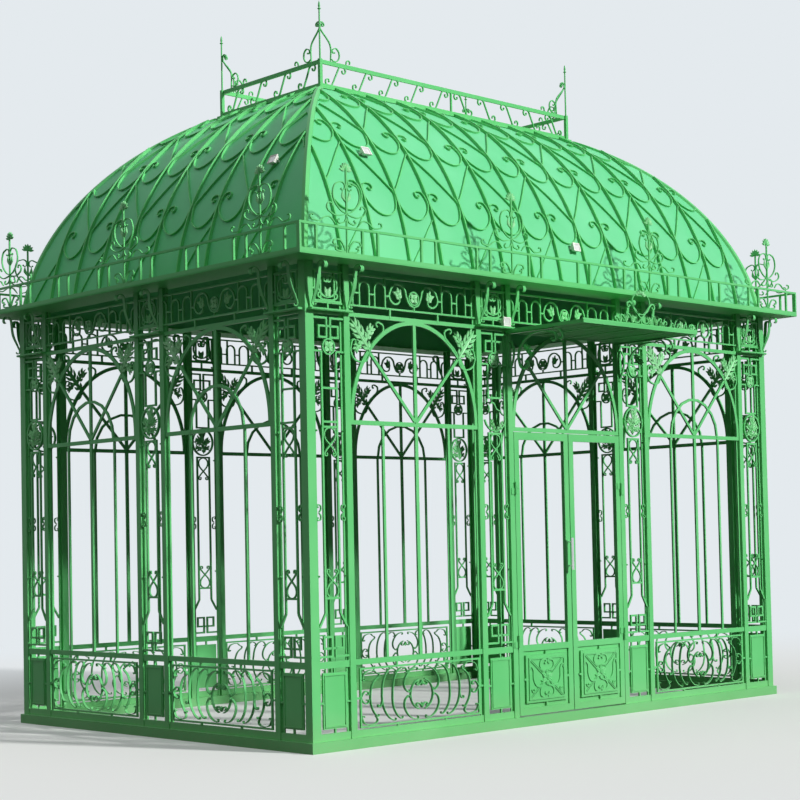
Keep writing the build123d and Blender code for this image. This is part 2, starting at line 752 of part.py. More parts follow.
# Handle: a round bar on two stems, on the left leaf's meeting stile
handle_x = -(meeting_gap / 2 + leaf_stile / 2)
handle_y = front_face - handle_reach
handle_bottom = sole_height + handle_height
handle_top = handle_bottom + handle_length
stem_inset = 30  # handle's end to each stem
with BuildPart() as door_handle:
    with BuildSketch(Plane.XY.offset(handle_bottom)):
        with Locations((handle_x, handle_y)):
            Circle(handle_radius)
    extrude(amount=handle_top - handle_bottom)
    with BuildSketch(front_plane):
        for level in (handle_bottom + stem_inset, handle_top - stem_inset):
            with Locations((handle_x, level)):
                Circle(handle_stem_radius)
    extrude(amount=handle_reach)
door_handle.part.label = "door_handle"
export_step(door_handle.part, "parts/door_handle.step")
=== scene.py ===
from math import asin, atan2, ceil, cos, degrees, hypot, pi, radians, sin, sqrt

import bpy
from mathutils import Matrix, Vector


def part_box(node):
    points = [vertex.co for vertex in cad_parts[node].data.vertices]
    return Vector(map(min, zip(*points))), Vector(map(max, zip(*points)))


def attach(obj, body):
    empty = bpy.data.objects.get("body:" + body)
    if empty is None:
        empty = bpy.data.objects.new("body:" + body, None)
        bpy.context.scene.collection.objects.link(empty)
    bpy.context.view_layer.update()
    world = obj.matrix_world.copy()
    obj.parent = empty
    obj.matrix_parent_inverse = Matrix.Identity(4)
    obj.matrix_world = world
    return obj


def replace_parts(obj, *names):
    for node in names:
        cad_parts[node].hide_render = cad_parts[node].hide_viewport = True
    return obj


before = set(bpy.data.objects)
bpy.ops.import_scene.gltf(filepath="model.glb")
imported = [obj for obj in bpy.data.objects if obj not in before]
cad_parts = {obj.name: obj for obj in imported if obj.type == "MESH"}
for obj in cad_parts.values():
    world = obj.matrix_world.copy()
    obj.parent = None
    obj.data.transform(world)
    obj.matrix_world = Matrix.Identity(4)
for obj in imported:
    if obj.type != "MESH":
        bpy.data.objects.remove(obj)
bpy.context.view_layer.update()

# Sole: rolled steel flats laid on edge round the foot of the walls, butted at the corners and
# painted in place. Rain splashes dust and earth onto the lowest hand's breadth of the paint.


def linear(hex_colour):
    """An sRGB hex colour as the linear RGBA that a shader takes."""
    channels = [int(hex_colour[i : i + 2], 16) / 255 for i in (1, 3, 5)]
    return [c / 12.92 if c <= 0.04045 else ((c + 0.055) / 1.055) ** 2.4 for c in channels] + [1.0]


def add_node(tree, kind, inputs=(), **settings):
    """Add one shader node and give its outputs; inputs maps a socket to a value or an output."""
    node = tree.nodes.new("ShaderNode" + kind)
    for name, value in settings.items():
        setattr(node, name, value)
    for socket, value in dict(inputs).items():
        if isinstance(value, bpy.types.NodeSocket):
            tree.links.new(value, node.inputs[socket])
        else:
            node.inputs[socket].default_value = value
    return node.outputs


def new_material(name):
    """A material with an empty tree, and the object's own metres to lay its patterns out by."""
    material = bpy.data.materials.new(name)
    material.use_nodes = True
    tree = material.node_tree
    tree.nodes.clear()
    return material, tree, add_node(tree, "TexCoord")["Object"]


def gloss_enamel(name, body, chalk, corner_shade, roughness, foot=0.0, dents=0.0, shine=0.5):
    """Gloss alkyd enamel sprayed on steel: an even skin that the sun chalks in faint patches, with
    painted shade darkening it in the corners, splashed dust near the ground and, on sheet, the swell of thin
    steel."""
    material, tree, place = new_material(name)
    patch_size = 0.6  # metres between chalky patches
    patches = add_node(tree, "TexNoise", {"Vector": place, "Scale": 1 / patch_size, "Detail": 3.0})["Fac"]
    chalky = {"Value": patches, "From Min": 0.42, "From Max": 0.7, "To Max": 0.55}
    chalky = {"Factor": add_node(tree, "MapRange", chalky)["Result"], "A": linear(body), "B": linear(chalk)}
    colour = add_node(tree, "Mix", chalky, data_type="RGBA")["Result"]
    # Painted shade: where an ambient occlusion test finds bars and plates close by, the colour is darkened
    # towards a deep green.
    corner_reach = 0.014
    corners = add_node(tree, "AmbientOcclusion", {"Distance": corner_reach}, samples=4)["AO"]
    corner_shaded = {"Value": corners, "From Min": 0.2, "From Max": 0.75, "To Min": 0.5, "To Max": 0.0}
    corner_shaded = {"Factor": add_node(tree, "MapRange", corner_shaded)["Result"], "A": colour, "B": linear(corner_shade)}
    colour = add_node(tree, "Mix", corner_shaded, data_type="RGBA")["Result"]
    if foot:
        height = add_node(tree, "SeparateXYZ", {"Vector": place})["Z"]
        splash_size = 0.014  # metres between splashes
        splashes = {"Vector": place, "Scale": 1 / splash_size, "Detail": 3.0}
        splashes = add_node(tree, "TexNoise", splashes)["Fac"]
        low = {"Value": height, "From Min": foot, "From Max": 0.0, "To Min": 0.0, "To Max": 0.45}
        low = add_node(tree, "MapRange", low)["Result"]
        dusty = add_node(tree, "Math", {0: low, 1: splashes}, operation="MULTIPLY")["Value"]
        dusty = {"Factor": dusty, "A": colour, "B": linear("#a39c7c")}
        colour = add_node(tree, "Mix", dusty, data_type="RGBA")["Result"]
    peel_size = 0.006  # orange peel of the sprayed coat
    peel = add_node(tree, "TexNoise", {"Vector": place, "Scale": 1 / peel_size, "Detail": 1.0})["Fac"]
    skin = add_node(tree, "Bump", {"Height": peel, "Strength": 0.15, "Distance": 0.0006})["Normal"]
    if dents:
        swell_size = 0.45  # metres from swell to swell of the rolled sheet
        swells = add_node(tree, "TexNoise", {"Vector": place, "Scale": 1 / swell_size, "Detail": 1.0})["Fac"]
        swells = {"Height": swells, "Strength": 1.0, "Distance": dents, "Normal": skin}
        skin = add_node(tree, "Bump", swells)["Normal"]
    gloss = {"Value": patches, "To Min": roughness - 0.08, "To Max": roughness + 0.12}
    gloss = add_node(tree, "MapRange", gloss)["Result"]
    surface = {"Base Color": colour, "Roughness": gloss, "Normal": skin, "IOR": 1.5}
    surface["Specular IOR Level"] = shine
    add_node(tree, "OutputMaterial", {"Surface": add_node(tree, "BsdfPrincipled", surface)["BSDF"]})
    return material


iron_paint = gloss_enamel(
    "green_enamel_on_iron", "#66ca79", "#7dd88c", "#2d7c42", 0.34, foot=0.28, shine=0.18
)


def finish_node(node, material=iron_paint):
    """Give a node of the frame its finish."""
    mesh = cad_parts[node].data
    mesh.materials.clear()
    mesh.materials.append(material)


finish_node("sole_plates")

# Posts and uprights: square hollow sections and bars between sole and soffit, with a thin
# strip welded along each side that the panels are screwed to.
low_corner, high_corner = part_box("corner_posts")
mid_y = (low_corner[1] + high_corner[1]) / 2
walls = {  # middle of the wall's outer face on the ground, rightwards and outwards
    "front": (Vector((0, low_corner[1], 0)), Vector((1, 0, 0)), Vector((0, -1, 0))),
    "back": (Vector((0, high_corner[1], 0)), Vector((-1, 0, 0)), Vector((0, 1, 0))),
    "left": (Vector((low_corner[0], mid_y, 0)), Vector((0, -1, 0)), Vector((-1, 0, 0))),
    "right": (Vector((high_corner[0], mid_y, 0)), Vector((0, 1, 0)), Vector((1, 0, 0))),
}
wall_length = dict.fromkeys(("front", "back"), high_corner[0] - low_corner[0])
wall_length |= dict.fromkeys(("left", "right"), high_corner[1] - low_corner[1])
post = 0.07
pilaster = 0.265
upright = 0.05
bay = 1.21
pitch = bay + pilaster + 2 * upright  # pilaster to pilaster, except across the door
pilaster_middles = {}
bay_middles = {}
for wall, length in wall_length.items():
    outermost = length / 2 - post - pilaster / 2
    if wall in ("front", "back"):
        pilaster_middles[wall] = (-outermost, pitch - outermost, outermost - pitch, outermost)
        bay_middles[wall] = (pitch / 2 - outermost, 0.0, outermost - pitch / 2)
    else:
        pilaster_middles[wall] = (-outermost, 0.0, outermost)
        bay_middles[wall] = (-outermost / 2, outermost / 2)
finish_node("corner_posts")
for wall in walls:
    finish_node(f"{wall}_uprights")

# Pilaster panels: flat bars welded to a key pattern, a bottle neck and two hanging lyres round
# a cast rosette and a cast oval of leaves. The oval is gone on both sides of the near corner and
# broken at the front's second pilaster.


def bend(start, heading, bends):
    """A bar bent in its plane from start: each bend is (turn, first radius, last radius)."""
    x, y = start
    path = [(x, y)]
    angle = radians(heading)
    for turn, radius, last_radius in bends:
        count = max(2, ceil(abs(turn) / 20))
        part = radians(turn) / count
        for step in range(count):
            length = radius * (last_radius / radius) ** ((step + 0.5) / count) * abs(part)
            angle += part / 2
            x += length * cos(angle)
            y += length * sin(angle)
            angle += part / 2
            path.append((x, y))
    return path


def curl(path, *bends):
    """Carry a bar on from its end with more bends."""
    (x1, y1), (x2, y2) = path[-2:]
    return path + bend((x2, y2), degrees(atan2(y2 - y1, x2 - x1)), bends)[1:]


def through(*points):
    """A fair curve through given points."""
    first = (2 * points[0][0] - points[1][0], 2 * points[0][1] - points[1][1])
    last = (2 * points[-1][0] - points[-2][0], 2 * points[-1][1] - points[-2][1])
    ends = [first, *points, last]
    path = [points[0]]
    for corners in zip(ends, ends[1:], ends[2:], ends[3:]):
        for t in (0.25, 0.5, 0.75, 1.0):
            weights = (-t + 2 * t**2 - t**3, 2 - 5 * t**2 + 3 * t**3, t + 4 * t**2 - 3 * t**3, t**3 - t**2)
            path.append(tuple(sum(w * c[axis] for w, c in zip(weights, corners)) / 2 for axis in (0, 1)))
    return path


def on_oval(middle, turn, half_width, half_height=None):
    """The point of an oval, or of a circle, in one direction from its middle."""
    high = half_width if half_height is None else half_height
    return (middle[0] + half_width * cos(turn), middle[1] + high * sin(turn))


def ring(middle, half_width, half_height=None, count=36):
    """A closed hoop."""
    return [on_oval(middle, 2 * pi * k / count, half_width, half_height) for k in range(count)]


def rectangle(half_width, low, high):
    """A closed frame, about a panel's middle."""
    return [(-half_width, low), (half_width, low), (half_width, high), (-half_width, high)]


def flip(path):
    """The same bar on the other side of a panel's middle."""
    return [(-x, y) for x, y in path]


def drop(path, level):
    """The same bar upside down about a level."""
    return [(x, 2 * level - y) for x, y in path]


def cover(forge, first, corners, closed=False):
    """Faces over the rings of corners from the first vertex on, and a cap on each open end."""
    verts, faces = forge
    rings = (len(verts) - first) // corners
    for step in range(rings if closed else rings - 1):
        near = first + step * corners
        far = first + (step + 1) % rings * corners
        for k in range(corners):
            faces.append((near + k, near + (k + 1) % corners, far + (k + 1) % corners, far + k))
    if not closed:
        faces.append(tuple(first + k for k in reversed(range(corners))))
        faces.append(tuple(first + (rings - 1) * corners + k for k in range(corners)))


def sweep(path, section, forge, place, closed=False):
    """Sweep a section along a line; section(share) gives its (sideways, outward) corners."""
    verts = forge[0]
    spans = [hypot(b[0] - a[0], b[1] - a[1]) for a, b in zip(path, path[1:] + path[:1])]
    whole = sum(spans[:-1])
    first = len(verts)
    uneven = 0.0002 * (first // 4 % 5)  # bars that are welded side by side never lie quite flush
    done = 0.0
    for number, (x, y) in enumerate(path):
        before = path[number - 1] if number or closed else path[0]
        ahead = path[(number + 1) % len(path)] if number + 1 < len(path) or closed else path[-1]
        into = Vector((x - before[0], y - before[1]))
        out = Vector((ahead[0] - x, ahead[1] - y))
        into = into.normalized() if into.length else out.normalized()
        out = out.normalized() if out.length else into
        along = (into + out).normalized()
        widen = 1 / max(0.6, along.dot(out))
        for sideways, outward in section(min(1.0, done / whole)):
            across = x - along.y * sideways * widen
            verts.append(place(across, y + along.x * sideways * widen, outward - uneven))
        done += spans[number]
    cover(forge, first, len(section(0.0)), closed)


def bar(path, width, forge, depth, place, closed=False, drawn_out=0.0):
    """A flat bar bent on edge, between the front and the back of its depth. drawn_out is the share
    of it that the smith has thinned at each end."""
    front, back = depth

    def section(share):
        half = width / 2
        if drawn_out:
            half *= 0.5 + 0.5 * min(1.0, share / drawn_out, (1 - share) / drawn_out)
        return ((half, front), (half, back), (-half, back), (-half, front))

    sweep(path, section, forge, place, closed)


def scroll(path, width, forge, depth, place, eyes=1):
    """A bar that closes on a small round eye at its last end, or with two eyes at both."""
    bar(path, width, forge, depth, place, drawn_out=0.12)
    for end in (path[-1], path[0])[:eyes]:
        eye(end, 0.72 * width, forge, depth, place)


def eye(middle, radius, forge, depth, place):
    """The small round end that a scroll closes on."""
    x, y = middle
    front, back = depth

    def section(share):
        half = radius * max(0.4, sin(pi * min(1.0, share)))
        return ((half, front), (half, back), (-half, back), (-half, front), (0, front + 0.3 * radius))

    sweep([(x, y + radius * (step / 3 - 1)) for step in range(7)], section, forge, place)


def along_spine(path, count):
    """Points at even steps along a line."""
    spans = [hypot(b[0] - a[0], b[1] - a[1]) for a, b in zip(path, path[1:])]
    even = []
    for step in range(count + 1):
        goal = sum(spans) * step / count
        for span, a, b in zip(spans, path, path[1:]):
            if goal <= span or b == path[-1]:
                part = min(1.0, goal / span)
                even.append((a[0] + (b[0] - a[0]) * part, a[1] + (b[1] - a[1]) * part))
                break
            goal -= span
    return even


def leaf(path, breadth, forge, depth, place, lobes=0):
    """A cast leaf on a spine: domed, thin at its edges, with a lobed outline."""
    front, back = depth

    def section(share):
        half = breadth / 2 * sin(pi * min(0.985, max(0.03, share)) ** 0.8) ** 0.7
        if lobes:
            half *= 1 - 0.38 * abs(cos(pi * lobes * share))
        swell = (front - back) * min(1.0, half / (breadth / 4))
        edge = back + swell * 0.6
        ridges = ((-half * 0.5, back + swell), (0, back + swell * 0.8), (half * 0.5, back + swell))
        return ((half, edge), (half, back), (-half, back), (-half, edge), *ridges)

    sweep(along_spine(path, max(6, 6 * lobes + 4)), section, forge, place)


def acanthus(path, breadth, pairs, forge, depth, place):
    """A cast acanthus leaf: a ribbed midrib with pairs of pointed lobes that sweep forward."""
    spine = along_spine(path, 2 * pairs + 2)
    leaf(path, breadth * 0.26, forge, depth, place)
    lobe = breadth * 0.9 / (pairs + 0.5)
    thin = (depth[0] - 0.002, depth[0] - 0.011)
    for pair in range(pairs):
        x, y = spine[2 * pair + 1]
        ahead = spine[2 * pair + 2]
        heading = atan2(ahead[1] - y, ahead[0] - x)
        reach = breadth * 0.58 * sin(pi * (pair + 1) / (pairs + 1.4)) ** 0.6
        for side in (-1, 1):
            middle = on_oval((x, y), heading + side * radians(60 - 5 * pair), 0.55 * reach)
            point = on_oval(middle, heading + side * radians(22), 0.62 * reach)
            leaf([(x, y), middle, point], lobe, forge, thin, place)


def rosette(middle, radius, forge, depth, place, petals=4, start=45):
    """A cast flower: petals round a boss."""
    x, y = middle
    for petal in range(petals):
        turn = radians(start + 360 * petal / petals)
        petal_spine = [on_oval(middle, turn, 0.12 * radius), on_oval(middle, turn, radius)]
        leaf(petal_spine, radius * 3.4 / petals, forge, depth, place)
    boss = [(x, y - 0.26 * radius), (x, y + 0.26 * radius)]
    leaf(boss, 0.5 * radius, forge, (depth[0] + 0.004, depth[1]), place)


def on_wall(wall, middle=0.0, level=0.0):
    """Places on a wall: along it from a middle, up from a level, and out from the wall's face."""
    origin, right, out = walls[wall]

    def place(across, height, proud):
        return origin + right * (middle + across) + out * proud + Vector((0, 0, level + height))

    return place


def iron_piece(name, forge, material=iron_paint, body="frame"):
    """Join what was forged into one piece, with crisp arrises, and let it move with its body."""
    verts, faces = forge
    mesh = bpy.data.meshes.new(name)
    mesh.from_pydata(verts, [], faces)
    mesh.shade_smooth()
    mesh.set_sharp_from_angle(angle=radians(35))
    piece = bpy.data.objects.new(name, mesh)
    bpy.context.collection.objects.link(piece)
    mesh.materials.append(material)
    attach(piece, body)
    return piece


grille = (-0.004, -0.018)  # a flat bar's front and back: just behind the uprights' faces
flush_bar = (0.0, -0.018)  # level with the uprights' faces
scroll_depth = (-0.006, -0.018)
casting = (0.0, -0.012)
key_bar = 0.014
lyre_bar = 0.009
key = [(0.1325, 2.862), (0.017, 2.862), (0.017, 2.733), (0.083, 2.733), (0.083, 2.808), (0.017, 2.808)]
key_tie = [(-0.017, 2.808), (0.017, 2.808)]
key_middle = (2.862 + 0.622) / 2
balloon = ((0.0, 2.132), (0.032, 2.123), (0.049, 2.094), (0.038, 2.056), (0.0, 2.018), (-0.028, 1.99))
hanging_lyre = curl(through(*balloon, (-0.045, 1.97)), (270, 0.018, 0.008))
standing_lyre_level = (2.132 + 1.008) / 2
side_scroll_foot = through((0.106, 1.572), (0.09, 1.59), (0.092, 1.615), (0.108, 1.622))
outer_scroll = curl(side_scroll_foot, (-200, 0.012, 0.006))
# Painted light: the cast leaves and rosettes take a paler copy of the enamel, so that their raised lobes
# look sunlit.
lit_cast_paint = gloss_enamel("enamel_on_castings_painted_light", "#86de94", "#b4eebb", "#4fae63", 0.4, shine=0.3)
oval_sprays = (  # spine of each spray of the oval, its breadth and its pairs of lobes
    (((-0.012, 2.172), (-0.02, 2.22), (0.0, 2.275)), 0.0575, 3),
    (((-0.01, 2.205), (-0.04, 2.225), (-0.082, 2.222)), 0.0575, 3),
    (((0.0, 2.215), (0.045, 2.215), (0.078, 2.232)), 0.0575, 3),
    (((-0.015, 2.25), (-0.045, 2.275), (-0.08, 2.3)), 0.06325, 3),
    (((0.005, 2.25), (0.045, 2.27), (0.082, 2.295)), 0.06325, 3),
    (((0.0, 2.26), (0.012, 2.315), (-0.005, 2.372)), 0.09775, 4),
)
left_sprays = (  # what is left of the broken oval's
    (((0, 2.162), (-0.03, 2.19), (-0.05, 2.25)), 0.05),
    (((0.01, 2.165), (0.05, 2.19), (0.085, 2.235)), 0.04),
)
no_oval = (("front", 0), ("left", 2))  # on both sides of the near corner
for wall, middles in pilaster_middles.items():
    forge = ([], [])
    cast = ([], [])
    for number, middle in enumerate(middles):
        place = on_wall(wall, middle)
        flat = (forge, grille, place)  # what most bars of a panel share
        for side in (flip, list):
            bar(side(key), key_bar, *flat)
            bar(drop(side(key), key_middle), key_bar, *flat)
            for lyre in (hanging_lyre, drop(hanging_lyre, standing_lyre_level)):
                scroll(side(lyre), lyre_bar, forge, scroll_depth, place)
            for hook in (outer_scroll, drop(outer_scroll, 1.57)):
                scroll(side(hook), 0.007, forge, scroll_depth, place)
            bar(side([(0.098, 0.32), (pilaster / 2, 0.32)]), 0.012, *flat)
        for tie in (key_tie, drop(key_tie, key_middle)):
            bar(tie, key_bar, forge, (-0.005, -0.018), place)
        bar(ring((0, 2.672), 0.051), 0.011, *flat, closed=True)
        rosette((0, 2.672), 0.047, cast, casting, place)
        for level in (2.112, 1.15):
            for across in (-0.112, 0.112):
                rosette((across, level), 0.007, forge, (-0.008, -0.022), place, petals=6)
        if (wall, number) in no_oval:
            bar([(-0.07, 2.172), (0.07, 2.172)], key_bar, *flat)
            for across in (-0.064, 0.064):
                bar([(across, 2.139), (across, 2.397)], key_bar, *flat)
        elif (wall, number) == ("front", 1):
            bar(bend((-0.104, 2.235), -75, [(150, 0.11, 0.108)]), 0.01, *flat)
            for spine, breadth in left_sprays:
                acanthus(spine, breadth, 3, cast, (0.004, -0.012), place)
            twig = through((-0.05, 2.35), (-0.02, 2.362), (0.0, 2.345), (0.02, 2.315), (0.06, 2.302))
            bar(twig, 0.009, *flat, drawn_out=0.3)
        else:
            bar(ring((0, 2.27), 0.106, 0.113), 0.012, forge, (0.001, -0.018), place, closed=True)
            for spine, breadth, pairs in oval_sprays:
                acanthus(spine, breadth, pairs, cast, (0.007, -0.01), place)
        bar(rectangle(0.088, 0.163, 0.5), 0.007, forge, flush_bar, place, closed=True)
    iron_piece(f"{wall}_pilaster_scrolls", forge)
    iron_piece(f"{wall}_pilaster_castings", cast, lit_cast_paint)
    finish_node(f"{wall}_pilaster_panels")

# Window panels: bars under a wide arch, with a smaller arch and two rays in it, and a low panel of
# scrolls in a thin frame. The small arch is missing in the bay at the near front corner.
rails = ((0.07, 0.12), (0.553, 0.59), (2.16, 2.19), (2.888, 2.915))  # foot and top of each rail
middle_bar = 0.028
outer_bar = 0.02
outer_bar_place = 0.312
arch_bar = 0.028
arch_rise = 0.691
ray_bar = 0.022
ray_share = 0.69  # where a ray meets the arch, as a share of half the bay
ray_rise = 0.462
door_opening = 1.2
window_bar = (-0.006, -0.02)


def shift(path, across, up):
    """The same bar at another place."""
    return [(x + across, y + up) for x, y in path]


def level_rails(levels, half, *work):
    """Flats laid across a bay, each between a foot and a top; work is its forge, depth and place."""
    for foot, top in levels:
        level = (foot + top) / 2
        bar([(-half, level), (half, level)], top - foot, *work)


def bay_head(half, *work):
    """The head of a bay, from the transom up."""
    spring = rails[2][1]
    level_rails(rails[2:], half, *work)
    bar([(0, spring - 0.002), (0, rails[3][0] + 0.002)], middle_bar, *work)
    bar(ring((0, spring), half - arch_bar / 2, arch_rise, 96)[:49], arch_bar, *work)
    for side in (-1, 1):
        ray = [(side * 0.002, spring - 0.002), (side * ray_share * half, spring + ray_rise)]
        bar(ray, ray_bar, *work)


low_half = 0.562
low_bottom = 0.136
low_top = 0.524
low_middle = (low_bottom + low_top) / 2
low_scroll = (-0.002, -0.021)
low_bar = 0.0055
tab_place = 0.228
tab_bar = 0.014
circle_middle = 0.318
open_circle = bend((0.027, 0.4205), -15, [(-150, 0.106, 0.106)])
bud_curl = curl(through((0.0, 0.224), (0.012, 0.245), (0.03, 0.256)), (-220, 0.016, 0.008))
short_c = ((0.05, 0.503), (0.09, 0.494), (0.127, 0.471), (0.153, 0.437), (0.165, 0.4), (0.156, 0.364))
short_c = curl(curl(through(*short_c, (0.13, 0.34)), (-190, 0.013, 0.007))[::-1], (170, 0.014, 0.007))
knee = (0.271, 0.365)
first_arc = through((0.138, 0.49), (0.156, 0.508), (0.19, 0.509), (0.229, 0.485), (0.257, 0.435), knee)
first_arc += through(knee, (0.272, 0.29), (0.257, 0.23), (0.225, 0.185), (0.2, 0.166))[1:]
first_arc = curl(curl(first_arc, (-170, 0.014, 0.008))[::-1], (160, 0.014, 0.008))
knee = (0.37, 0.33)
second_arc = through((0.247, 0.5), (0.276, 0.512), (0.312, 0.498), (0.345, 0.455), (0.364, 0.4), knee)
second_arc += through(knee, (0.363, 0.275), (0.341, 0.222), (0.303, 0.178), (0.262, 0.157))[1:]
second_arc = curl(curl(second_arc, (-165, 0.014, 0.008))[::-1], (150, 0.014, 0.008))
branch = curl(through((0.368, 0.3), (0.376, 0.272), (0.39, 0.26)), (170, 0.013, 0.007))
third_arc = ((0.4, 0.463), (0.44, 0.435), (0.466, 0.389), (0.475, 0.33), (0.468, 0.275), (0.445, 0.228))
third_arc = curl(through(*third_arc, (0.42, 0.2)), (-165, 0.014, 0.008))
third_arc = curl(third_arc[::-1], (-170, 0.014, 0.008))
corner_c = through((0.418, 0.488), (0.445, 0.508), (0.485, 0.508), (0.525, 0.493), (0.543, 0.462))
corner_c = curl(corner_c, (-200, 0.015, 0.008))
foot_c = through((0.43, 0.2), (0.412, 0.176), (0.43, 0.153), (0.48, 0.147), (0.53, 0.158), (0.55, 0.19))
foot_c = curl(foot_c, (190, 0.015, 0.008))
side_curl = through((0.556, low_middle), (0.545, 0.352), (0.52, 0.372), (0.5, 0.368))
side_curl = curl(side_curl, (210, 0.015, 0.007))
low_scrolls = (first_arc, second_arc, branch, third_arc, corner_c, foot_c)
low_scrolls += (short_c, drop(short_c, circle_middle + 0.008), bud_curl, drop(bud_curl, circle_middle))
low_scrolls += (side_curl, drop(side_curl, low_middle))
tabs = (
    [(tab_place, 0.115), (tab_place, low_bottom)],
    [(tab_place, low_top), (tab_place, 0.556)],
    [(low_half, low_middle), (bay / 2, low_middle)],
)
transom_level = 2.175
small_arch = bend((0.305, transom_level), 90, [(180, 0.305, 0.305)])
arch_scroll = ((-0.415, 2.68), (-0.385, 2.728), (-0.337, 2.764), (-0.297, 2.806), (-0.296, 2.846))
arch_scroll = curl(through(*arch_scroll, (-0.33, 2.864)), (190, 0.026, 0.01))
side_vine = ((-0.425, 2.64), (-0.45, 2.6), (-0.5, 2.585), (-0.562, 2.605), (-0.592, 2.66), (-0.58, 2.72))
side_vine = curl(through(*side_vine), (-210, 0.024, 0.01))
spandrel_leaves = (
    (((-0.425, 2.662), (-0.468, 2.72), (-0.53, 2.798), (-0.59, 2.872)), 0.135, 5),
    (((-0.455, 2.735), (-0.43, 2.79), (-0.385, 2.845)), 0.085, 3),
    (((-0.495, 2.7), (-0.535, 2.69), (-0.565, 2.65)), 0.066, 3),
)
for wall, middles in bay_middles.items():
    bars = ([], [])
    forge = ([], [])
    cast = ([], [])
    for number, middle in enumerate(middles):
        if (wall, number) == ("front", 1):
            continue
        half = (door_opening if (wall, number) == ("back", 1) else bay) / 2
        place = on_wall(wall, middle)
        framing = (bars, window_bar, place)
        flat = (forge, grille, place)
        bay_head(half, *framing)
        level_rails(rails[:2], half, *framing)
        upright_line = [(0, rails[1][1] - 0.002), (0, rails[2][0] + 0.002)]
        bar(upright_line, middle_bar, *framing)
        for across in (-outer_bar_place, outer_bar_place):
            bar(shift(upright_line, across, 0), outer_bar, *framing)
        bar(rectangle(low_half, low_bottom, low_top), 0.013, *flat, closed=True)
        for side in (flip, list):
            for line in low_scrolls:
                scroll(side(line), low_bar, forge, low_scroll, place)
            bar(side(open_circle), low_bar, forge, low_scroll, place)
            for tab in tabs:
                bar(side(tab), tab_bar, *flat)
            for line in (arch_scroll, side_vine):
                scroll(side(line), 0.011, *flat)
            for spine, breadth, pairs in spandrel_leaves:
                acanthus(side(spine), breadth, pairs, cast, (0.006, -0.008), place)
        for low, high in ((0.222, 0.262), (0.374, 0.414)):
            leaf([(0, low), (0, high)], 0.018, forge, flush_bar, place)
        if (wall, number) != ("front", 0):
            bar(small_arch, 0.02, *flat)
    iron_piece(f"{wall}_window_scrolls", forge)
    iron_piece(f"{wall}_spandrel_leaves", cast, lit_cast_paint)
    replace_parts(iron_piece(f"{wall}_window_bars", bars), f"{wall}_window_panels")

# Fanlight: the head of a bay over the door, welded from the same flat bars as the window panels
# and screwed between the door posts.
forge = ([], [])
bay_head(door_opening / 2, forge, window_bar, on_wall("front"))
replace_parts(iron_piece("fanlight_bars", forge), "fanlight")

# Frieze: hoops linked by short bars on a thin rail, with two budded scrolls and a rosette in a
# heart over the middle of each bay; over a pilaster a scrolled heart in a square frame.
frieze_foot = 2.966
link_level = 3.053
hoops = ((0.27, 0.367), (0.418, 0.506))
last_hoop = 0.566
hoop_spring = 3.09
hoop_bar = 0.011
shoulder = (0.212, 3.11)
heart_side = ((0, 2.993), (0.042, 3.012), (0.068, 3.06), (0.083, 3.11), (0.12, 3.14), (0.17, 3.14))
bud_hook = ((0.231, 3.06), (0.214, 3.02), (0.176, 3.003), (0.14, 3.017), (0.131, 3.046))
budded_scroll = through(*heart_side, shoulder) + through(shoulder, *bud_hook)[1:]
bud = [(0.135, 3.035), (0.148, 3.072), (0.172, 3.098)]
pilaster_heart = through((0, 2.998), (0.05, 3.018), (0.082, 3.065), (0.074, 3.12), (0.035, 3.148))
pilaster_heart = curl(pilaster_heart, (200, 0.03, 0.02), (130, 0.02, 0.012))
foot_curl = curl(through((0.0, 2.984), (0.04, 2.984), (0.072, 2.996)), (215, 0.022, 0.009))
for wall, middles in bay_middles.items():
    forge = ([], [])
    cast = ([], [])
    for middle in middles:
        place = on_wall(wall, middle)
        flat = (forge, grille, place)
        bar([(0, frieze_foot), (0, 2.995)], 0.01, *flat)
        bar(ring((0, 3.054), 0.045), 0.009, *flat, closed=True)
        rosette((0, 3.054), 0.042, cast, casting, place)
        for side in (flip, list):
            bar(side(budded_scroll), 0.012, *flat, drawn_out=0.08)
            acanthus(side(bud), 0.08, 3, cast, (0.002, -0.012), place)
            for inner, outer in hoops:
                half = (outer - inner) / 2
                bow = bend((inner, hoop_spring), 90, [(-180, half, half)])
                bar(side([(inner, frieze_foot), *bow, (outer, frieze_foot)]), hoop_bar, *flat)
            bow = bend((last_hoop, hoop_spring), 90, [(-85, 0.045, 0.045)])
            bar(side([(last_hoop, frieze_foot), *bow]), hoop_bar, *flat)
            for inner, outer in ((0.23, 0.27), (0.367, 0.418), (0.506, last_hoop)):
                bar(side([(inner, link_level), (outer, link_level)]), hoop_bar, *flat)
            bar(side([(tab_place, 2.9), (tab_place, frieze_foot)]), tab_bar, *flat)
    for middle in pilaster_middles[wall]:
        place = on_wall(wall, middle)
        flat = (forge, grille, place)
        bar(rectangle(0.112, 2.975, 3.172), 0.012, *flat, closed=True)
        bar([(0, 2.915), (0, 2.975)], 0.012, *flat)
        acanthus([(0, 3.0), (0, 3.02), (0, 3.058)], 0.07, 3, cast, (0.002, -0.012), place)
        for side in (flip, list):
            scroll(side(pilaster_heart), 0.013, *flat)
            scroll(side(foot_curl), 0.011, *flat)
            bar(side([(0.112, 3.055), (pilaster / 2, 3.055)]), 0.012, *flat)
    iron_piece(f"{wall}_frieze_scrolls", forge)
    iron_piece(f"{wall}_frieze_castings", cast, lit_cast_paint)
    finish_node(f"{wall}_frieze")

# Consoles: a ledge over each pilaster, with a ribbon of flat bar at either end that rises from
# a small curl, leans out and rolls over under the soffit.


def beside_wall(wall, middle, level=0.0):
    """Places on an upright plane square to a wall: out from its face, up from a level, sideways."""
    place = on_wall(wall, middle, level)
    return lambda outward, height, aside: place(aside, height, outward)


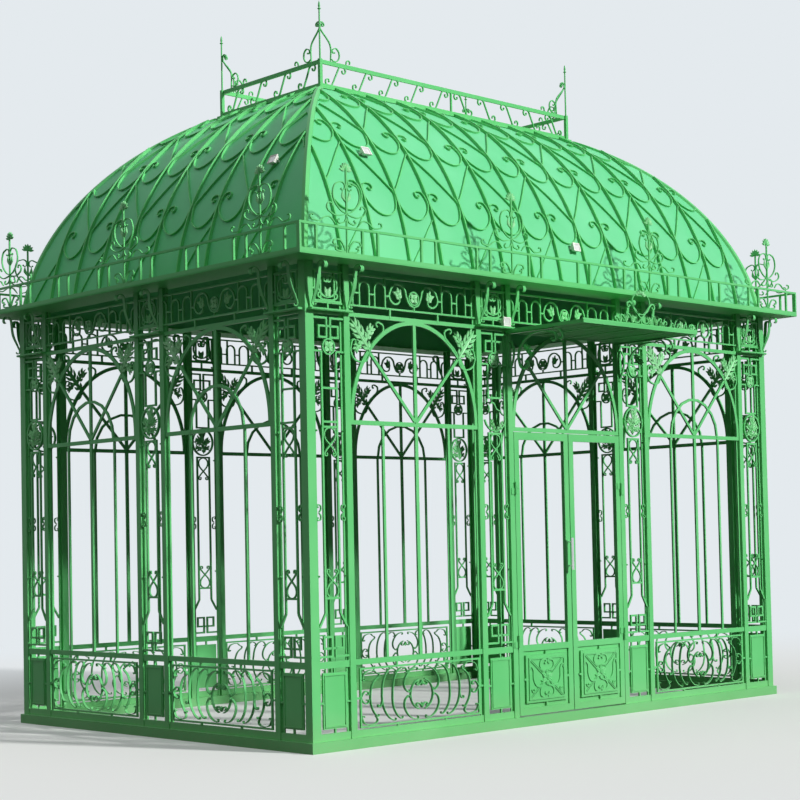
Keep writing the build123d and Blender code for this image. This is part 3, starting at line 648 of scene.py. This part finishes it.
ledge_middle = 2.9125
ledge_thickness = 0.015
ledge_reach = 0.045
console_width = 0.03
ribbon = through((0.03, 2.962), (0.052, 3.005), (0.078, 3.055), (0.091, 3.1), (0.096, 3.145), (0.1, 3.182))
ribbon = curl(ribbon, (-130, 0.037, 0.034), (-125, 0.03, 0.016))
ribbon = curl(ribbon[::-1], (60, 0.03, 0.022), (170, 0.018, 0.008))[::-1]


def ribbon_section(share):
    """The ribbon is drawn out thin towards its foot."""
    half = console_width / 2 * min(1.0, 0.4 + 1.4 * share)
    return ((0.003, half), (0.003, -half), (-0.003, -half), (-0.003, half))


for wall, middles in pilaster_middles.items():
    forge = ([], [])
    for middle in middles:
        place = on_wall(wall, middle)
        end = pilaster / 2 + upright
        ledge = [(-end, ledge_middle), (end, ledge_middle)]
        bar(ledge, ledge_thickness, forge, (ledge_reach - 0.004, 0.0), place)
        lip = [(-end + 0.003, ledge_middle), (end - 0.003, ledge_middle)]
        bar(lip, 0.008, forge, (ledge_reach, 0.0), place)
        for side in (-1, 1):
            place = beside_wall(wall, middle + side * (pilaster + upright) / 2)
            sweep(ribbon, ribbon_section, forge, place)
    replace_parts(iron_piece(f"{wall}_console_scrolls", forge), f"{wall}_consoles")
# Painted shade: the eave plates, canopy and slats take a slightly darker, duller copy of the enamel, so that
# their undersides stay dark.
shaded_eaves_paint = gloss_enamel("dulled_enamel_on_eaves_painted_darker", "#63c576", "#79d488", "#2d7c42", 0.5, shine=0.05)
finish_node("eave_plates", shaded_eaves_paint)

# Eave gallery: a low railing round the edge of the eave, with small scrolls between the posts
# where two of its panels meet.
eave_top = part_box("eave_plates")[1][2]
eave_reach = low_corner[1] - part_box("eave_plates")[0][1]
gallery = (eave_reach - 0.002, eave_reach - 0.013)
gallery_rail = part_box("front_eave_gallery")[1][2]
tulip = through((0.012, 0.03), (0.03, 0.07), (0.062, 0.105), (0.1, 0.105))
tulip = curl(tulip, (-215, 0.024, 0.01))
tulip_foot = curl(through((0.012, 0.03), (0.05, 0.032), (0.085, 0.035)), (210, 0.018, 0.008))
for wall, middles in pilaster_middles.items():
    forge = ([], [])
    for middle in middles:
        place = on_wall(wall, middle, eave_top)
        for side in (flip, list):
            for line in (tulip, tulip_foot):
                scroll(side(line), 0.009, forge, gallery, place)
        bar([(0, 0.02), (0, gallery_rail - eave_top - 0.01)], 0.01, forge, gallery, place)
    iron_piece(f"{wall}_eave_scrolls", forge)
    finish_node(f"{wall}_eave_gallery")

# Eave crests: over each pilaster a stem with a palmette, between two bars that cross on it in a
# ring and roll out below, and runners of small scrolls along the rail.
crest_ring = ((0.0, 0.085), (0.05, 0.105), (0.1, 0.155), (0.117, 0.215), (0.096, 0.272), (0.052, 0.292))
crest_ring = curl(through(*crest_ring), (150, 0.034, 0.026), (120, 0.022, 0.01))
crest_foot = through((0.0, 0.085), (-0.045, 0.072), (-0.1, 0.068), (-0.15, 0.09))
crest_foot = curl(crest_foot, (-150, 0.034, 0.026), (-110, 0.022, 0.01))
crest_knee = curl(through((0.0, 0.065), (0.02, 0.03), (0.055, 0.018)), (190, 0.02, 0.009))
runner = through((0.1, 0.012), (0.14, 0.05), (0.19, 0.045), (0.235, 0.015), (0.29, 0.018))
runner = curl(runner, (220, 0.026, 0.01))
palmette = (0, 0.37)
forge = ([], [])
cast = ([], [])
for wall, middles in pilaster_middles.items():
    for middle in middles:
        place = on_wall(wall, middle, gallery_rail)
        bar([(0, -0.01), (0, 0.4)], 0.012, forge, gallery, place)
        for side in (flip, list):
            for line in (crest_ring, crest_foot, crest_knee, runner):
                scroll(side(line), 0.008, forge, gallery, place)
            leaf(side([(0.004, 0.16), (0.03, 0.2), (0.03, 0.24)]), 0.026, cast, gallery, place, lobes=1)
        for petal in range(7):
            turn = radians(90 + (petal - 3) * 27)
            petal_spine = [on_oval(palmette, turn, 0.01), on_oval(palmette, turn, 0.056, 0.058)]
            leaf(petal_spine, 0.02, cast, gallery, place)
iron_piece("eave_crest_leaves", cast, lit_cast_paint)
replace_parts(iron_piece("eave_crest_scrolls", forge), "eave_crests")

# Roof: four sheets of steel rolled to one curve, painted on both faces, with flat ribs on edge
# and, beside every second rib, bars that run down to the next rib and roll back in scrolls.
roof_paint = gloss_enamel(
    "green_enamel_on_sheet", "#66cd8d", "#7ddaa2", "#2f7f4c", 0.47, dents=0.012, shine=0.25
)
crown_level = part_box("crown_plate")[0][2]
roof_radius = 1.925
foot_inset = 0.026
crown_inset = 1.15
run = crown_inset - foot_inset
climb = crown_level - eave_top
chord = hypot(run, climb)
sag = sqrt(roof_radius**2 - (chord / 2) ** 2)
centre_inset = (foot_inset + crown_inset) / 2 + sag * climb / chord
centre_level = (eave_top + crown_level) / 2 - sag * run / chord
foot_angle = asin((eave_top - centre_level) / roof_radius)
crown_angle = asin((crown_level - centre_level) / roof_radius)
roof_length = (crown_angle - foot_angle) * roof_radius  # foot to crown along the curve


def inset_at(distance):
    """How far the roof has drawn in from the wall's face, at a distance up its curve."""
    return centre_inset - roof_radius * cos(foot_angle + distance / roof_radius)


def on_roof(wall, middle=0.0):
    """Places on a roof side: along the wall from middle, up the curve, and proud of the sheet."""
    origin, right, out = walls[wall]

    def place(across, distance, proud):
        angle = foot_angle + distance / roof_radius
        reach = roof_radius + proud
        inward = centre_inset - reach * cos(angle)
        level = Vector((0, 0, centre_level + reach * sin(angle)))
        return origin + right * (middle + across) - out * inward + level

    return place


hip_margin = 0.02


def within_hips(path, middle, half_length, top):
    """The first stretch of a line that stays inside the hips and under the crown."""
    kept = []
    for across, distance in path:
        if abs(middle + across) < half_length - inset_at(distance) - hip_margin and distance < top:
            kept.append((across, distance))
        elif kept:
            break
    return kept


rib_width = 0.011
corner_margin = 0.15
fine_step = 0.01  # a rib is lengthened by this until it meets its hip
rib_height = 0.025
rib_foot = 0.012
thin_bar = (0.012, -0.001)
volute_bar = (0.017, -0.001)
rows = 3
row_rise = 0.58  # up the roof, from one row of volutes to the next
rib_pitch = {"front": 0.3168, "back": 0.3168, "left": 0.335, "right": 0.335}
volute_reach = 0.31
volute_width = 0.007
run_down = ((0.004, 1.0), (0.09, 0.895), (0.18, 0.775), (0.262, 0.665), (volute_reach, 0.6))
bowl = ((volute_reach - 0.004, 0.535), (0.284, 0.465), (0.232, 0.415), (0.165, 0.398), (0.098, 0.418))
rise = ((0.045, 0.468), (0.014, 0.53), (0.016, 0.59), (0.042, 0.636), (0.078, 0.642))
volute = curl(through(*run_down, *bowl, *rise), (-150, 0.034, 0.024), (-130, 0.02, 0.01))
lowest_run = shift(flip(through(*run_down)), 0, -row_rise)
lowest_run = [spot for spot in lowest_run if spot[1] > rib_foot]
for wall, pitch_along in rib_pitch.items():
    ribs = ([], [])
    volutes = ([], [])
    half_length = wall_length[wall] / 2
    count = int((half_length - corner_margin) / pitch_along)
    for number in range(-count, count + 1):
        middle = number * pitch_along
        place = on_roof(wall, middle)
        line = [(0.0, roof_length * step / 24) for step in range(25)]
        line = within_hips(line, middle, half_length, roof_length + fine_step)
        top = line[-1][1]
        while top < roof_length - fine_step:
            if abs(middle) >= half_length - inset_at(top + fine_step) - hip_margin:
                break
            top += fine_step
        bar(line + [(0.0, top)], rib_width, ribs, (rib_height, -0.002), place)
        bar([(-rib_width / 2, rib_foot), (0.05, rib_foot)], 0.014, ribs, (0.012, 0.0), place)
        if (number + count) % 2 == (1 if wall in ("left", "right") else 0):
            continue
        low_line = within_hips(lowest_run, middle, half_length, roof_length)
        if len(low_line) > 3:
            bar(low_line, 0.006, volutes, thin_bar, place)
        for row in range(rows):
            for side in (flip, list):
                line = shift(side(volute), 0, row * row_rise)
                line = within_hips(line, middle, half_length, roof_length - 0.03)
                if len(line) > 3:
                    bar(line, volute_width, volutes, volute_bar, place)
                if len(line) == len(volute):
                    eye(line[-1], 0.009, volutes, volute_bar, place)
    iron_piece(f"{wall}_roof_ribs", ribs)
    iron_piece(f"{wall}_roof_volutes", volutes)
    finish_node(f"{wall}_roof", roof_paint)
finish_node("hip_bars")

# Lamps: small cast aluminium floodlights, powder coated white, each with a frosted glass in its rim.
# Three hang by a strap on the roof and one stands on the ledge beside the door.


def powder_coat(name, body, roughness):
    """Polyester powder baked on cast metal: an even skin with a faint orange peel, greyed by rain."""
    material, tree, place = new_material(name)
    run_size = 0.03  # metres between rain marks
    runs = add_node(tree, "TexNoise", {"Vector": place, "Scale": 1 / run_size, "Detail": 3.0})["Fac"]
    greyed = {"Factor": runs, "A": linear(body), "B": linear("#dedcd2")}
    colour = add_node(tree, "Mix", greyed, data_type="RGBA")["Result"]
    grain_size = 0.003  # from grain to grain of the orange peel
    grain = add_node(tree, "TexNoise", {"Vector": place, "Scale": 1 / grain_size, "Detail": 1.0})["Fac"]
    skin = add_node(tree, "Bump", {"Height": grain, "Strength": 0.2, "Distance": 0.0004})["Normal"]
    surface = {"Base Color": colour, "Roughness": roughness, "Normal": skin, "IOR": 1.5}
    add_node(tree, "OutputMaterial", {"Surface": add_node(tree, "BsdfPrincipled", surface)["BSDF"]})
    return material


def frosted_glass(name):
    """Etched soda-lime glass: light passes it but no picture does, and dust dulls it in patches."""
    material, tree, place = new_material(name)
    etch_size = 0.0015  # from pit to pit of the etched face
    etch = add_node(tree, "TexNoise", {"Vector": place, "Scale": 1 / etch_size, "Detail": 2.0})["Fac"]
    frost = add_node(tree, "MapRange", {"Value": etch, "To Min": 0.35, "To Max": 0.6})["Result"]
    dust_size = 0.02  # metres between patches of dust
    dust = add_node(tree, "TexNoise", {"Vector": place, "Scale": 1 / dust_size, "Detail": 2.0})["Fac"]
    dusty = {"Factor": dust, "A": linear("#fafdfd"), "B": linear("#ecebe4")}
    colour = add_node(tree, "Mix", dusty, data_type="RGBA")["Result"]
    surface = {"Base Color": colour, "Roughness": frost, "IOR": 1.52, "Transmission Weight": 0.5}
    add_node(tree, "OutputMaterial", {"Surface": add_node(tree, "BsdfPrincipled", surface)["BSDF"]})
    return material


def lamp(middle, back, housing, glass, place):
    """One lamp: a finned housing on a strap, a rim and a glass, out from its back."""
    x, y = middle
    half_width = 0.034
    half_height = 0.03
    strap_end = half_width + 0.006

    def body(share):
        half = half_height * (0.93 if share < 0.1 or share > 0.9 else 1.0)
        side = ((half, back + 0.034), (half, back + 0.018), (0.6 * half, back + 0.008))
        return side + tuple((-across, out) for across, out in side[::-1])

    steps = (-1.0, -0.92, -0.4, 0.0, 0.4, 0.92, 1.0)
    sweep([(x + step * half_width, y) for step in steps], body, housing, place)
    rim = shift(rectangle(half_width, y - half_height, y + half_height), x, 0)
    bar(rim, 0.008, housing, (back + 0.04, back + 0.03), place, closed=True)
    for fin in (-0.024, -0.012, 0.0, 0.012, 0.024):
        line = [(x + fin, y - 0.022), (x + fin, y + 0.022)]
        bar(line, 0.002, housing, (back + 0.02, back + 0.002), place)
    for across in (x - strap_end, x + strap_end):
        bar([(across, y - 0.008), (across, y + 0.008)], 0.003, housing, (back + 0.026, back), place)
    strap = [(x - strap_end, y), (x + strap_end, y)]
    bar(strap, 0.016, housing, (back + 0.002, back - 0.002), place)
    pane = [(x - half_width + 0.003, y), (x + half_width - 0.003, y)]
    bar(pane, 0.052, glass, (back + 0.037, back + 0.033), place)


housing = ([], [])
glass = ([], [])
lamp((-1.72, 0.92), 0.004, housing, glass, on_roof("front"))
lamp((0.22, 0.36), 0.004, housing, glass, on_roof("front"))
lamp((1.16, 0.82), 0.004, housing, glass, on_roof("left"))
lamp((-0.68, 2.955), 0.002, housing, glass, on_wall("front"))
iron_piece("lamp_housings", housing, powder_coat("white_powder_coat", "#fbfaf6", 0.45))
iron_piece("lamp_glasses", glass, frosted_glass("frosted_lamp_glass"))

# Crown: a flat plate with a railing of wide flats, and leaning scrolls cut from thin bar in it.
# The railing is bolted through the plate, and its long sides have a post in the middle.
finish_node("crown_plate")
crown_low, crown_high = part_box("crown_gallery")
rail_width = 0.031
rail_thickness = 0.014
crown_rail = crown_high[2]
crown_foot = crown_low[2] + rail_width
rail_under = crown_rail - rail_width
crown_half = {}
crown_inward = {}
for wall, axis in (("front", 1), ("back", 1), ("left", 0), ("right", 0)):
    crown_half[wall] = (crown_high[1 - axis] - crown_low[1 - axis]) / 2
    crown_inward[wall] = crown_low[axis] - low_corner[axis]
lean_middle = (crown_foot + rail_under) / 2
half_lean = through((0.0, lean_middle), (0.014, lean_middle + 0.028), (0.03, rail_under - 0.014))
half_lean = curl(half_lean, (-75, 0.042, 0.04), (-285, 0.036, 0.01))
leaning = drop(flip(half_lean[::-1]), lean_middle) + half_lean[1:]
railing = ([], [])
for wall in walls:
    forge = ([], [])
    place = on_wall(wall)
    face = -crown_inward[wall]
    flat = (railing, (face, face - rail_thickness), place)
    half = crown_half[wall] - 0.02
    lengthwise = wall in ("front", "back")
    for level in (crown_foot - rail_width / 2, crown_rail - rail_width / 2):
        bar([(-half, level), (half, level)], rail_width, *flat)
    if lengthwise:
        bar([(0, crown_foot - 0.002), (0, rail_under + 0.002)], rail_thickness, *flat)
    scrolls = 5 if lengthwise else 2
    for number in range(scrolls):
        centre = half / scrolls * (number + 0.5)
        for line in (shift(leaning, -centre, 0), shift(flip(leaning) if lengthwise else leaning, centre, 0)):
            scroll(line, 0.009, forge, (face - 0.001, face - 0.013), place, eyes=2)
    iron_piece(f"{wall}_crown_scrolls", forge)
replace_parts(iron_piece("crown_railing", railing), "crown_gallery")

# Finials: a thin rod with a small spear on each corner post of the crown, stayed on both sides by
# an ogee of thin bar that rolls off the rod at its top, with a C scroll at its foot.


def turned(foot, profile, forge, sides=10, start=0.0):
    """A turned, hammered or squared form: (radius, height) pairs over a point."""
    first = len(forge[0])
    for radius, height in profile:
        corners = [on_oval(foot, start + 2 * pi * k / sides, radius) for k in range(sides)]
        forge[0].extend(Vector((*corner, height)) for corner in corners)
    cover(forge, first, sides)


finial_low, finial_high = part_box("finials")
tip = finial_high[2]
post_half = 0.013
squared = -3 * pi / 4  # from a post's middle to its first corner
post_profile = [(post_half * sqrt(2), level) for level in (finial_low[2], crown_rail + 0.002)]
rod_profile = ((0.007, crown_rail), (0.006, tip - 0.06), (0.006, tip - 0.05))
spear = ((0.004, 0.068), (0.014, 0.064), (0.014, 0.06), (0.004, 0.057))  # radius, and depth from the tip
spear += ((0.009, 0.04), (0.006, 0.016), (0.0006, 0.0))
neck = (0.012, 0.248)
ogee = through((0.12, 0), (0.124, 0.045), (0.126, 0.09), (0.115, 0.135), (0.082, 0.175), (0.045, 0.21), neck)
ogee += through(neck, (0.014, 0.272), (0.032, 0.289), (0.051, 0.283))[1:]
ogee = curl(ogee, (-290, 0.016, 0.008))
crest_c = ((0.13, 0.022), (0.15, 0.008), (0.184, 0.012), (0.208, 0.045), (0.205, 0.085), (0.178, 0.11))
crest_c = curl(through(*crest_c, (0.152, 0.103)), (210, 0.022, 0.01))
outer_hook = curl([(0.275, -0.004), (0.279, 0.02)], (-200, 0.022, 0.013))
forge = ([], [])
for x in (finial_low[0] + post_half, finial_high[0] - post_half):
    for y in (finial_low[1] + post_half, finial_high[1] - post_half):
        turned((x, y), post_profile, forge, 4, squared)
        turned((x, y), rod_profile, forge, 8)
        turned((x, y), [(radius, tip - below) for radius, below in spear], forge)
for wall in walls:
    face = -crown_inward[wall]
    place = on_wall(wall, 0.0, crown_rail)
    for side in (flip, list):
        for line in (ogee, crest_c, outer_hook):
            stay = side(shift(flip(line), crown_half[wall] + 0.01, 0))
            scroll(stay, 0.008, forge, (face - 0.002, face - 0.013), place)
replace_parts(iron_piece("finial_crests", forge), "finials")

# Canopy: a sheet in a frame of flats over the door, slatted below. Two brackets of flat bar hold
# it, each with a long scroll that sweeps from the door post out to the canopy's edge.
finish_node("canopy", shaded_eaves_paint)
canopy_low, canopy_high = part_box("canopy")
canopy_reach = low_corner[1] - canopy_low[1]
canopy_half = canopy_high[0]
under = canopy_low[2]
bracket_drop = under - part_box("canopy_brackets")[0][2]
bracket_reach = low_corner[1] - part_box("canopy_brackets")[0][1]
sweep_scroll = ((0.44, -0.035), (0.35, -0.018), (0.235, -0.028), (0.14, -0.085), (0.095, -0.165))
sweep_scroll = curl(through(*sweep_scroll, (0.105, -0.235)), (110, 0.055, 0.045), (180, 0.036, 0.014))
sweep_scroll = curl(sweep_scroll[::-1], (-120, 0.04, 0.032), (-150, 0.026, 0.01))
wall_scroll = curl(through((0.01, -0.27), (0.04, -0.2), (0.05, -0.12), (0.028, -0.07)), (150, 0.02, 0.009))
front_curl = curl(through((0.45, -0.008), (0.5, -0.02), (0.53, -0.055)), (-220, 0.03, 0.012))
forge = ([], [])
for side in (-1, 1):
    place = beside_wall("front", side * (canopy_half - upright / 2), under)
    flat = (forge, (0.012, -0.012), place)
    round_bar = (forge, (0.01, -0.01), place)
    bar([(0.004, -bracket_drop), (0.004, 0)], 0.008, *flat)
    bar([(0, -0.004), (bracket_reach, -0.004)], 0.008, *flat)
    scroll(sweep_scroll, 0.01, *round_bar, eyes=2)
    scroll(wall_scroll, 0.009, forge, (0.008, -0.008), place)
    scroll(front_curl, 0.01, *round_bar)
    acanthus([(0.15, -0.1), (0.2, -0.14), (0.24, -0.19)], 0.07, 4, forge, (0.006, -0.006), place)
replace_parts(iron_piece("canopy_bracket_scrolls", forge), "canopy_brackets")
slats = 12
slat = [(-canopy_half + 0.014, 0.009), (canopy_half - 0.014, 0.009)]
forge = ([], [])
for number in range(slats):
    reach = canopy_reach * (number + 0.5) / slats
    bar(slat, 0.01, forge, (reach + 0.022, reach - 0.022), on_wall("front", 0.0, under))
iron_piece("canopy_slats", forge, shaded_eaves_paint)

# Canopy cresting: on the canopy's front edge a hooped lyre of flat bar between sprays of cast
# leaves. Small hooks run on from them to the right corner only.
crest_front = canopy_reach - 0.006
crest_back = canopy_reach - 0.017
crest_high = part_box("canopy_cresting")[1][2] - canopy_high[2]
vee = through((0.0, 0.045), (0.042, 0.085), (0.086, 0.128), (0.112, 0.155))
vee = curl(vee, (-120, 0.026, 0.024), (-200, 0.02, 0.009))
low_roll = curl(through((0.0, 0.05), (0.03, 0.02), (0.062, 0.018)), (200, 0.022, 0.01))
side_leaves = ((0.1, 0.085), (0.175, 0.075), (0.24, 0.06))  # where each stands, and its height
hooks = (0.33, 0.41, 0.49, 0.57)
forge = ([], [])
cast = ([], [])
place = on_wall("front", 0.0, canopy_high[2])
flat = (forge, (crest_front, crest_back), place)
bar([(-canopy_half, 0.004), (canopy_half, 0.004)], 0.01, *flat)
bar([(0, 0), (0, 0.06)], 0.011, *flat)
bar(ring((0.0, 0.16), 0.1, 0.082, 30), 0.007, *flat, closed=True)
for petal in range(5):
    turn = radians(90 + 34 * (petal - 2))
    root = on_oval((0, crest_high - 0.05), turn, 0.03, 0.012)
    petal_spine = [root, on_oval(root, turn, 0.036)]
    leaf(petal_spine, 0.022, cast, (crest_front + 0.002, crest_back), place)
for side in (flip, list):
    scroll(side(vee), 0.011, *flat)
    scroll(side(low_roll), 0.009, *flat)
    for start, height in side_leaves:
        stem = through((start, 0.004), (start + 0.012, height * 0.5), (start + 0.032, height - 0.016))
        scroll(side(curl(stem, (-210, 0.018, 0.008))), 0.008, *flat)
        spray = side([(start + 0.004, 0.01), (start - 0.018, 0.75 * height)])
        acanthus(spray, 0.55 * height, 3, cast, (crest_front + 0.003, crest_front - 0.008), place)
for start in hooks:
    hook = curl(through((start, 0.004), (start + 0.012, 0.02), (start + 0.02, 0.034)), (-200, 0.014, 0.007))
    scroll(hook, 0.007, *flat)
iron_piece("canopy_crest_leaves", cast, lit_cast_paint)
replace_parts(iron_piece("canopy_crest_scrolls", forge), "canopy_cresting")

# Doors: two leaves of flats with a sheet below. On the sheet stands a panel held by tabs, and on
# that a frame with a flower, four ribs to its corners and forged scrolls between them.
for part in ("left_door_leaf", "right_door_leaf", "door_hinges"):
    finish_node(part)
leaf_middle = 0.304
on_sheet = (0.004, -0.011)
raised_work = (0.012, 0.002)
panel_half = 0.222
panel_low = 0.165
panel_high = 0.515
panel_middle = (panel_low + panel_high) / 2
inner_half = 0.19
inner_low = 0.192
inner_high = 0.488
upper_loop = through((0.012, 0.395), (0.05, 0.4), (0.074, 0.43), (0.066, 0.466), (0.03, 0.478))
upper_loop = curl(upper_loop, (200, 0.02, 0.01))
wing = through((0.16, 0.425), (0.147, 0.4), (0.145, 0.34), (0.118, 0.29), (0.075, 0.282))
wing = curl(curl(wing, (-215, 0.032, 0.012))[::-1], (-200, 0.018, 0.008))
corner_curl = curl([(0.17, 0.262), (0.162, 0.25)], (-200, 0.015, 0.007))
for side, body in ((-leaf_middle, "left_door"), (leaf_middle, "right_door")):
    forge = ([], [])
    place = on_wall("front", side)
    panel = (forge, on_sheet, place)
    raised = (forge, raised_work, place)
    bar([(-panel_half, panel_middle), (panel_half, panel_middle)], panel_high - panel_low, *panel)
    bar(rectangle(inner_half, inner_low, inner_high), 0.013, *raised, closed=True)
    for level, top in ((panel_low, 0.14), (panel_high, 0.54)):
        bar([(0.0, level), (0.0, top)], 0.016, *panel)
    for turn in (flip, list):
        bar(turn([(panel_half, panel_middle), (0.245, panel_middle)]), 0.016, *panel)
        for end, root in ((inner_low, panel_middle - 0.035), (inner_high, panel_middle + 0.035)):
            for beside in (-0.009, 0.009):
                rib = turn([(0.045, root + beside), (inner_half - 0.006, end + beside * 0.7)])
                bar(rib, 0.007, forge, (0.011, 0.002), place)
        for line in (upper_loop, drop(upper_loop, panel_middle), wing):
            scroll(turn(line), 0.013, *raised)
        scroll(turn(corner_curl), 0.01, *raised)
    rosette((0, panel_middle), 0.062, forge, (0.015, 0.002), place, petals=6, start=30)
    iron_piece(f"{body}_ornament", forge, iron_paint, body)

# Handle: a chromed steel tube on two stems, screwed to the left leaf's meeting stile. It is bent
# from one length and polished, and it turns nothing.


def bright_chrome(name):
    """Chrome on a steel tube: a near mirror, with the faint smears that hands leave."""
    material, tree, place = new_material(name)
    smear_size = 0.04  # metres between the smears
    smears = add_node(tree, "TexNoise", {"Vector": place, "Scale": 1 / smear_size, "Detail": 3.0})["Fac"]
    gloss = add_node(tree, "MapRange", {"Value": smears, "To Min": 0.08, "To Max": 0.3})["Result"]
    surface = {"Base Color": linear("#e2e4e6"), "Metallic": 1.0, "Roughness": gloss}
    add_node(tree, "OutputMaterial", {"Surface": add_node(tree, "BsdfPrincipled", surface)["BSDF"]})
    return material


finish_node("door_handle", bright_chrome("chrome_on_steel"))

# Floor: a pale studio sweep that keeps the shadow near the object and fades into the backdrop.
# It looks pale, but gives back no more light than old paving, so what faces down stays dark.


def looked_at(tree):
    """The kinds of ray, and one for what the camera, a gloss or a glass sees, or nought otherwise."""
    rays = add_node(tree, "LightPath")
    mirrored = {0: rays["Is Glossy Ray"], 1: rays["Is Transmission Ray"]}
    mirrored = add_node(tree, "Math", mirrored, operation="MAXIMUM")["Value"]
    seen = {0: rays["Is Camera Ray"], 1: mirrored}
    return rays, add_node(tree, "Math", seen, operation="MAXIMUM")["Value"]


backdrop = linear("#e4eaee")
reach = 80.0
floor_mesh = bpy.data.meshes.new("studio_floor")
floor_mesh.from_pydata([(x, y, 0) for x, y in rectangle(reach, -reach, reach)], [], [(0, 1, 2, 3)])
floor = bpy.data.objects.new("studio_floor", floor_mesh)
bpy.context.collection.objects.link(floor)
floor_material, tree, spot = new_material("pale_studio_floor")
away = add_node(tree, "VectorMath", {0: spot}, operation="LENGTH")["Value"]
fade = {"Value": away, "From Min": 3.0, "From Max": 12.0, "To Min": 0.15, "To Max": 1.0}
fade = add_node(tree, "MapRange", fade, interpolation_type="SMOOTHSTEP")["Result"]
rays, seen = looked_at(tree)
paleness = {"Factor": seen, "A": linear("#423f3b"), "B": linear("#f0f0ed")}
paleness = add_node(tree, "Mix", paleness, data_type="RGBA")["Result"]
share = add_node(tree, "Math", {0: fade, 1: rays["Is Camera Ray"]}, operation="MULTIPLY")["Value"]
matt = add_node(tree, "BsdfDiffuse", {"Color": paleness})["BSDF"]
glow = add_node(tree, "Emission", {"Color": backdrop})["Emission"]
blend = add_node(tree, "MixShader", {0: share, 1: matt, 2: glow})["Shader"]
add_node(tree, "OutputMaterial", {"Surface": blend})
floor_mesh.materials.append(floor_material)

# Light: a low sun from the right of the door side, a wide soft light from overhead, and a dim sky
# all round that the camera and the gloss see at the backdrop's full paleness.
world = bpy.data.worlds.new("pale_sky")
bpy.context.scene.world = world
world.use_nodes = True
tree = world.node_tree
background = tree.nodes["Background"]
background.inputs["Color"].default_value = backdrop
strength = add_node(tree, "MapRange", {"Value": looked_at(tree)[1], "To Min": 0.1, "To Max": 1.0})
tree.links.new(strength["Result"], background.inputs["Strength"])
for name, energy, spread, light_from in (
    ("soft_sun", 3.4, 4, (0.35, -1.0, 0.55)),
    ("overhead_sky", 0.85, 80, (-0.3, -0.15, 1.0)),
):
    sun_data = bpy.data.lights.new(name, "SUN")
    sun_data.energy = energy
    sun_data.angle = radians(spread)
    sun = bpy.data.objects.new(name, sun_data)
    bpy.context.collection.objects.link(sun)
    sun.rotation_euler = Vector(light_from).to_track_quat("Z", "Y").to_euler()

# Camera: at the photograph's place and angle, off the near corner at eye height, with its lens
# shifted to the photograph's crop.
camera_data = bpy.data.cameras.new("photo_camera")
camera_data.sensor_width = 36.0
camera_data.lens = 78.81
camera_data.shift_x = -0.0721
camera_data.shift_y = 0.0911
camera = bpy.data.objects.new("photo_camera", camera_data)
bpy.context.collection.objects.link(camera)
turn = radians(44.7495)
tilt = radians(2.2415)
roll = radians(-1.2606)
camera.matrix_world = (
    Matrix.Translation((-9.914, -10.313, 1.361))
    @ Matrix.Rotation(-turn, 4, "Z")
    @ Matrix.Rotation(pi / 2 + tilt, 4, "X")
    @ Matrix.Rotation(roll, 4, "Z")
)
bpy.context.scene.camera = camera
bpy.context.scene.view_settings.view_transform = "Standard"
